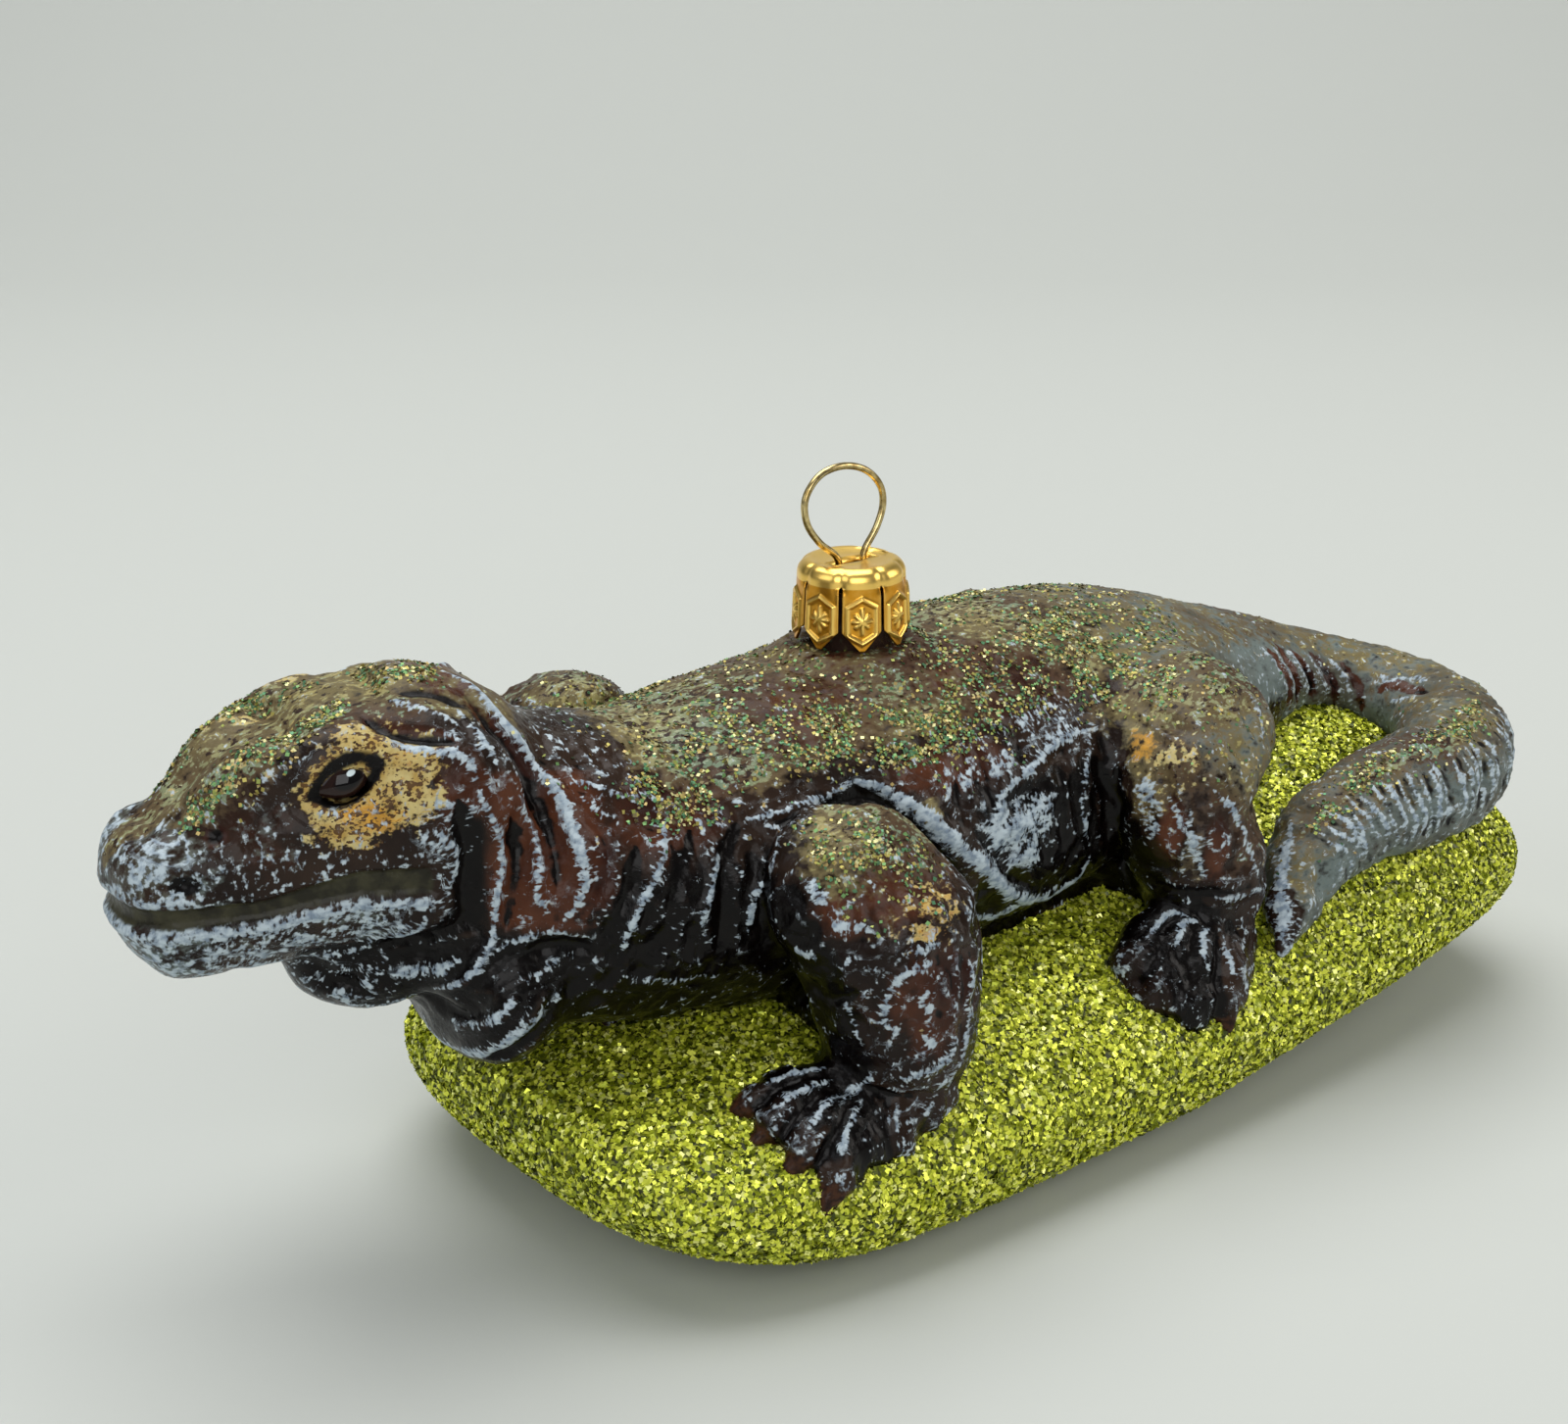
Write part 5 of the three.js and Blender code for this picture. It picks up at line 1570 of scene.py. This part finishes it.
def glass_pike():
    """The cut glass neck: a short tube with a rounded rim."""
    profile = [(3.3, 48.9), (3.3, 55.6), (3.45, 55.9), (3.75, 56.0), (4.05, 55.9), (4.2, 55.6),
               (4.2, 48.9)]
    sides = 48
    points = [(r * math.cos(2 * math.pi * s / sides), r * math.sin(2 * math.pi * s / sides), z)
              for r, z in profile for s in range(sides)]
    faces = [[i % len(points) for i in face] for face in tube_faces(len(profile), sides)]
    return mesh_object("glass_pike", points, faces)


def pike_material():
    """Bare glass, silvered brown inside: very smooth, with cloudy places about 3 mm across."""
    material, tree = new_material("cut_glass_pike")
    spots = node(tree, "ShaderNodeTexCoord")
    clouds = node(tree, "ShaderNodeTexNoise", {
        "Vector": spots.outputs["Object"], "Scale": 300.0, "Detail": 2.0}).outputs["Fac"]
    colour = node(tree, "ShaderNodeMix", {
        "Factor": clouds, FIRST: linear("#2a1c18"), SECOND: linear("#4a3830")},
        data_type="RGBA").outputs[MIXED]
    shader = node(tree, "ShaderNodeBsdfPrincipled", {"Base Color": colour, "Roughness": 0.1})
    node(tree, "ShaderNodeOutputMaterial", {"Surface": shader.outputs[0]})
    return material


def crown_cap():
    """A pressed crown: eight pointed tabs, embossed, under a fluted shoulder and a slotted top."""
    tabs, columns = 8, 36
    radius, slit_top, point, slit = 5.4, 6.3, 1.9, 0.2
    shoulder, dome, inwards, top = 6.7, 1.35, 1.3, 8.05
    slot_length, slot_width, flat_highlight = 2.7, 0.65, 0.6
    first_turn = math.radians(15)
    pitch = math.pi * radius / tabs
    heights = np.concatenate([np.linspace(0, point, 16), np.linspace(point + 0.12, shoulder, 50)])
    rows = [(z, radius + 0.3 * (1 - z / 6.6)) for z in heights]
    for turn in np.linspace(0.12, 1, 8) * math.pi / 2:
        rows.append((shoulder + dome * math.sin(turn), radius - inwards * (1 - math.cos(turn))))
    points, raised_highlight = [], []
    for z, reach in rows:
        half = pitch - slit * float(smoothstep(slit_top + 0.15, slit_top - 0.1, np.array(z)))
        if z < point:
            half *= (0.1 + 0.9 * z / point)
        for tab in range(tabs):
            for column in range(columns + 1):
                u = (2 * column / columns - 1) * half
                height = emboss(u, z, pitch, point, slit_top)
                out = reach + height
                # Painted highlight: how far the pattern stands out is kept for the material, which paints
                # the raised parts a brighter gold.
                raised_highlight.append(min(1.0, max(0.0, height / PRESSED)) if z < slit_top else flat_highlight)
                turn = first_turn + 2 * math.pi * tab / tabs + u / radius
                points.append((out * math.cos(turn), out * math.sin(turn), CAP_SEAT + z))
    across = tabs * (columns + 1)
    top_rows = 10
    for i in range(1, top_rows + 1):
        share = i / top_rows
        for tab in range(tabs):
            for column in range(columns + 1):
                turn = (first_turn + 2 * math.pi * tab / tabs
                        + (2 * column / columns - 1) * math.pi / tabs)
                c, s = math.cos(turn), math.sin(turn)
                slot = 1 / max(abs(c) / slot_length, abs(s) / slot_width)
                out = (1 - share) * (radius - inwards) + share * slot
                # The top is dished, and its last tenth turns down into the slot.
                dish = 0.3 * math.sin(min(1, share * 1.3) * math.pi / 2)
                z = top - dish + 0.2 * share ** 5 - 1.1 * max(0.0, share - 0.9) * 10
                points.append((out * c, out * s, CAP_SEAT + z))
                raised_highlight.append(flat_highlight)
    faces = []
    for row in range(len(rows) + top_rows - 1):
        for tab in range(tabs):
            for column in range(columns):
                a = row * across + tab * (columns + 1) + column
                faces.append([a, a + 1, a + 1 + across, a + across])
    made = mesh_object("crown_cap", points, faces)
    add_attribute(made, "raised_highlight", np.array(raised_highlight))
    weld = made.modifiers.new("weld", "WELD")
    weld.merge_threshold = 0.01 * MM
    wall = made.modifiers.new("wall", "SOLIDIFY")
    wall.thickness = 0.3 * MM
    wall.offset = -1
    return made


def emboss(u, z, pitch, point, slit_top):
    """Pressed ornament of one tab: a six-sided frame round a star of eight rays, and flutes."""
    def raised(gap, width):
        return math.exp(-(gap / width) ** 2)

    half = pitch - 0.2
    middle = 3.05
    lean = point / half
    dz = z - middle
    tall, wide = 2.35, half - 0.42
    inside = max(abs(u) - wide, (abs(dz) + 0.62 * lean * abs(u) - tall) / math.hypot(1, 0.62 * lean))
    frame_line = raised(inside + 0.1, 0.19)
    star = 0.0
    if inside < -0.2:
        for turn, size in ((0, 1.45), (45, 1.05), (90, 1.1), (135, 1.05)):
            c, s = math.cos(math.radians(turn)), math.sin(math.radians(turn))
            along, over = u * s + dz * c, u * c - dz * s
            if abs(along) < size:
                star = max(star, raised(over, 0.2) * math.cos(along / size * math.pi / 2) ** 0.5)
    edge = raised(half - abs(u), 0.22) if z < slit_top else 0.0
    flute = 0.0
    if z > 5.5:
        near_slit = raised(pitch - abs(u), 0.55)
        flute = -0.22 * near_slit * float(smoothstep(5.5, 6.4, np.array(z)))
    return PRESSED * max(frame_line, star) + 0.06 * edge + flute


class ORNAMENT_OT_stage(bpy.types.Operator):
    """Build the pale paper sweep, the lights and the camera"""
    bl_idname = "ornament.stage"
    bl_label = "Stage"

    def execute(self, context):
        scene = bpy.context.scene
        floor = paper_sweep()
        camera = bpy.data.objects.new("camera", bpy.data.cameras.new("camera"))
        scene.collection.objects.link(camera)
        camera.data.lens = 58.5
        camera.data.sensor_width = 36
        camera_at, dip = np.array([-161.0, -181.5, 128.3]), 19.5
        camera.location = Vector(ORIGIN + camera_at * MM)
        camera.rotation_euler = (math.radians(90 - dip), 0, math.radians(-VIEW_TURN))
        camera.data.clip_start = 0.01
        scene.camera = camera
        # Each lamp: its name, place and size in metres, power in watts and colour.
        for name, place, size, power, tone in (
            ("overhead", (0.06, 0.22, 0.95), 0.95, 10.2, "#ffffff"),
            ("window", (-0.80, 0.10, 0.50), 0.55, 1.4, "#f4f8ff"),
            ("front", (-0.48, -0.82, 0.48), 0.7, 4.1, "#ffffff"),
            ("fill", (0.70, -0.45, 0.40), 0.5, 2.1, "#fffaf4"),
        ):
            lamp = bpy.data.lights.new(name, "AREA")
            lamp.shape = "SQUARE"
            lamp.size = size
            lamp.energy = power
            lamp.color = linear(tone)[:3]
            holder = bpy.data.objects.new(name, lamp)
            scene.collection.objects.link(holder)
            holder.location = place
            aim = Vector((0, 0, 0.03)) - Vector(place)
            holder.rotation_euler = aim.to_track_quat("-Z", "Y").to_euler()
        world = bpy.data.worlds.new("studio")
        world.use_nodes = True
        world.node_tree.nodes["Background"].inputs["Color"].default_value = linear("#e9eef0")
        world.node_tree.nodes["Background"].inputs["Strength"].default_value = 0.24
        scene.world = world
        scene.view_settings.view_transform = "Standard"
        return {"FINISHED"}


def paper_sweep():
    """A sheet of pale paper on the table that curves up half a metre behind the ornament."""
    reach, bend, top = 6.0, 0.5, 1.6
    profile = [(-reach, 0.0), (bend, 0.0)]
    for turn in np.linspace(0.1, 1, 10) * math.pi / 2:
        profile.append((bend + bend * math.sin(turn), bend - bend * math.cos(turn)))
    profile.append((2 * bend, top))
    forward = np.array([math.sin(math.radians(VIEW_TURN)), math.cos(math.radians(VIEW_TURN))])
    side = np.array([forward[1], -forward[0]])
    points = []
    for along, z in profile:
        for across in (-reach, reach):
            spot = forward * along + side * across
            points.append((np.array([spot[0], spot[1], z]) - ORIGIN) / MM)
    faces = [[2 * i, 2 * i + 1, 2 * i + 3, 2 * i + 2] for i in range(len(profile) - 1)]
    made = mesh_object("paper_sweep", points, faces)
    made.data.materials.append(paper_material())
    return made


def paper_material():
    """Matt white paper, uncoated: it scatters the light and shows faint fibres, drawn about 1 mm
    long so that they can be seen."""
    material, tree = new_material("matt_white_paper")
    spots = node(tree, "ShaderNodeTexCoord")
    fibre = node(tree, "ShaderNodeTexNoise", {
        "Vector": spots.outputs["Object"], "Scale": 900.0, "Detail": 3.0}).outputs["Fac"]
    bump = node(tree, "ShaderNodeBump", {"Height": fibre, "Strength": 0.08, "Distance": 0.0002})
    shader = node(tree, "ShaderNodeBsdfPrincipled", {
        "Base Color": linear("#bec1bc"), "Roughness": 0.8, "Normal": bump.outputs["Normal"]})
    node(tree, "ShaderNodeOutputMaterial", {"Surface": shader.outputs[0]})
    return material


# ---- the add-on ----
PIECES = (ORNAMENT_OT_stage, ORNAMENT_OT_skin, ORNAMENT_OT_eyes, ORNAMENT_OT_mound,
          ORNAMENT_OT_hanger)


class ORNAMENT_PT_panel(bpy.types.Panel):
    """Lists the ornament's sizes, colours and pieces"""
    bl_idname = "ORNAMENT_PT_panel"
    bl_label = "Glass ornament"
    bl_space_type = "VIEW_3D"
    bl_region_type = "UI"
    bl_category = "Ornament"

    def draw(self, context):
        layout = self.layout
        for group in (context.scene.ornament_sizes, context.scene.ornament_colours):
            for name in group.__annotations__:
                layout.prop(group, name)
        for piece in PIECES:
            layout.operator(piece.bl_idname)


CLASSES = (OrnamentSizes, OrnamentColours) + PIECES + (ORNAMENT_PT_panel,)


def register():
    for one in CLASSES:
        bpy.utils.register_class(one)
    bpy.types.Scene.ornament_sizes = bpy.props.PointerProperty(type=OrnamentSizes)
    bpy.types.Scene.ornament_colours = bpy.props.PointerProperty(type=OrnamentColours)


def unregister():
    del bpy.types.Scene.ornament_colours
    del bpy.types.Scene.ornament_sizes
    for one in reversed(CLASSES):
        bpy.utils.unregister_class(one)


def main():
    """Builds every piece."""
    register()
    bpy.ops.ornament.stage()
    bpy.ops.ornament.skin()
    bpy.ops.ornament.eyes()
    bpy.ops.ornament.mound()
    bpy.ops.ornament.hanger()


if __name__ == "__main__":
    main()
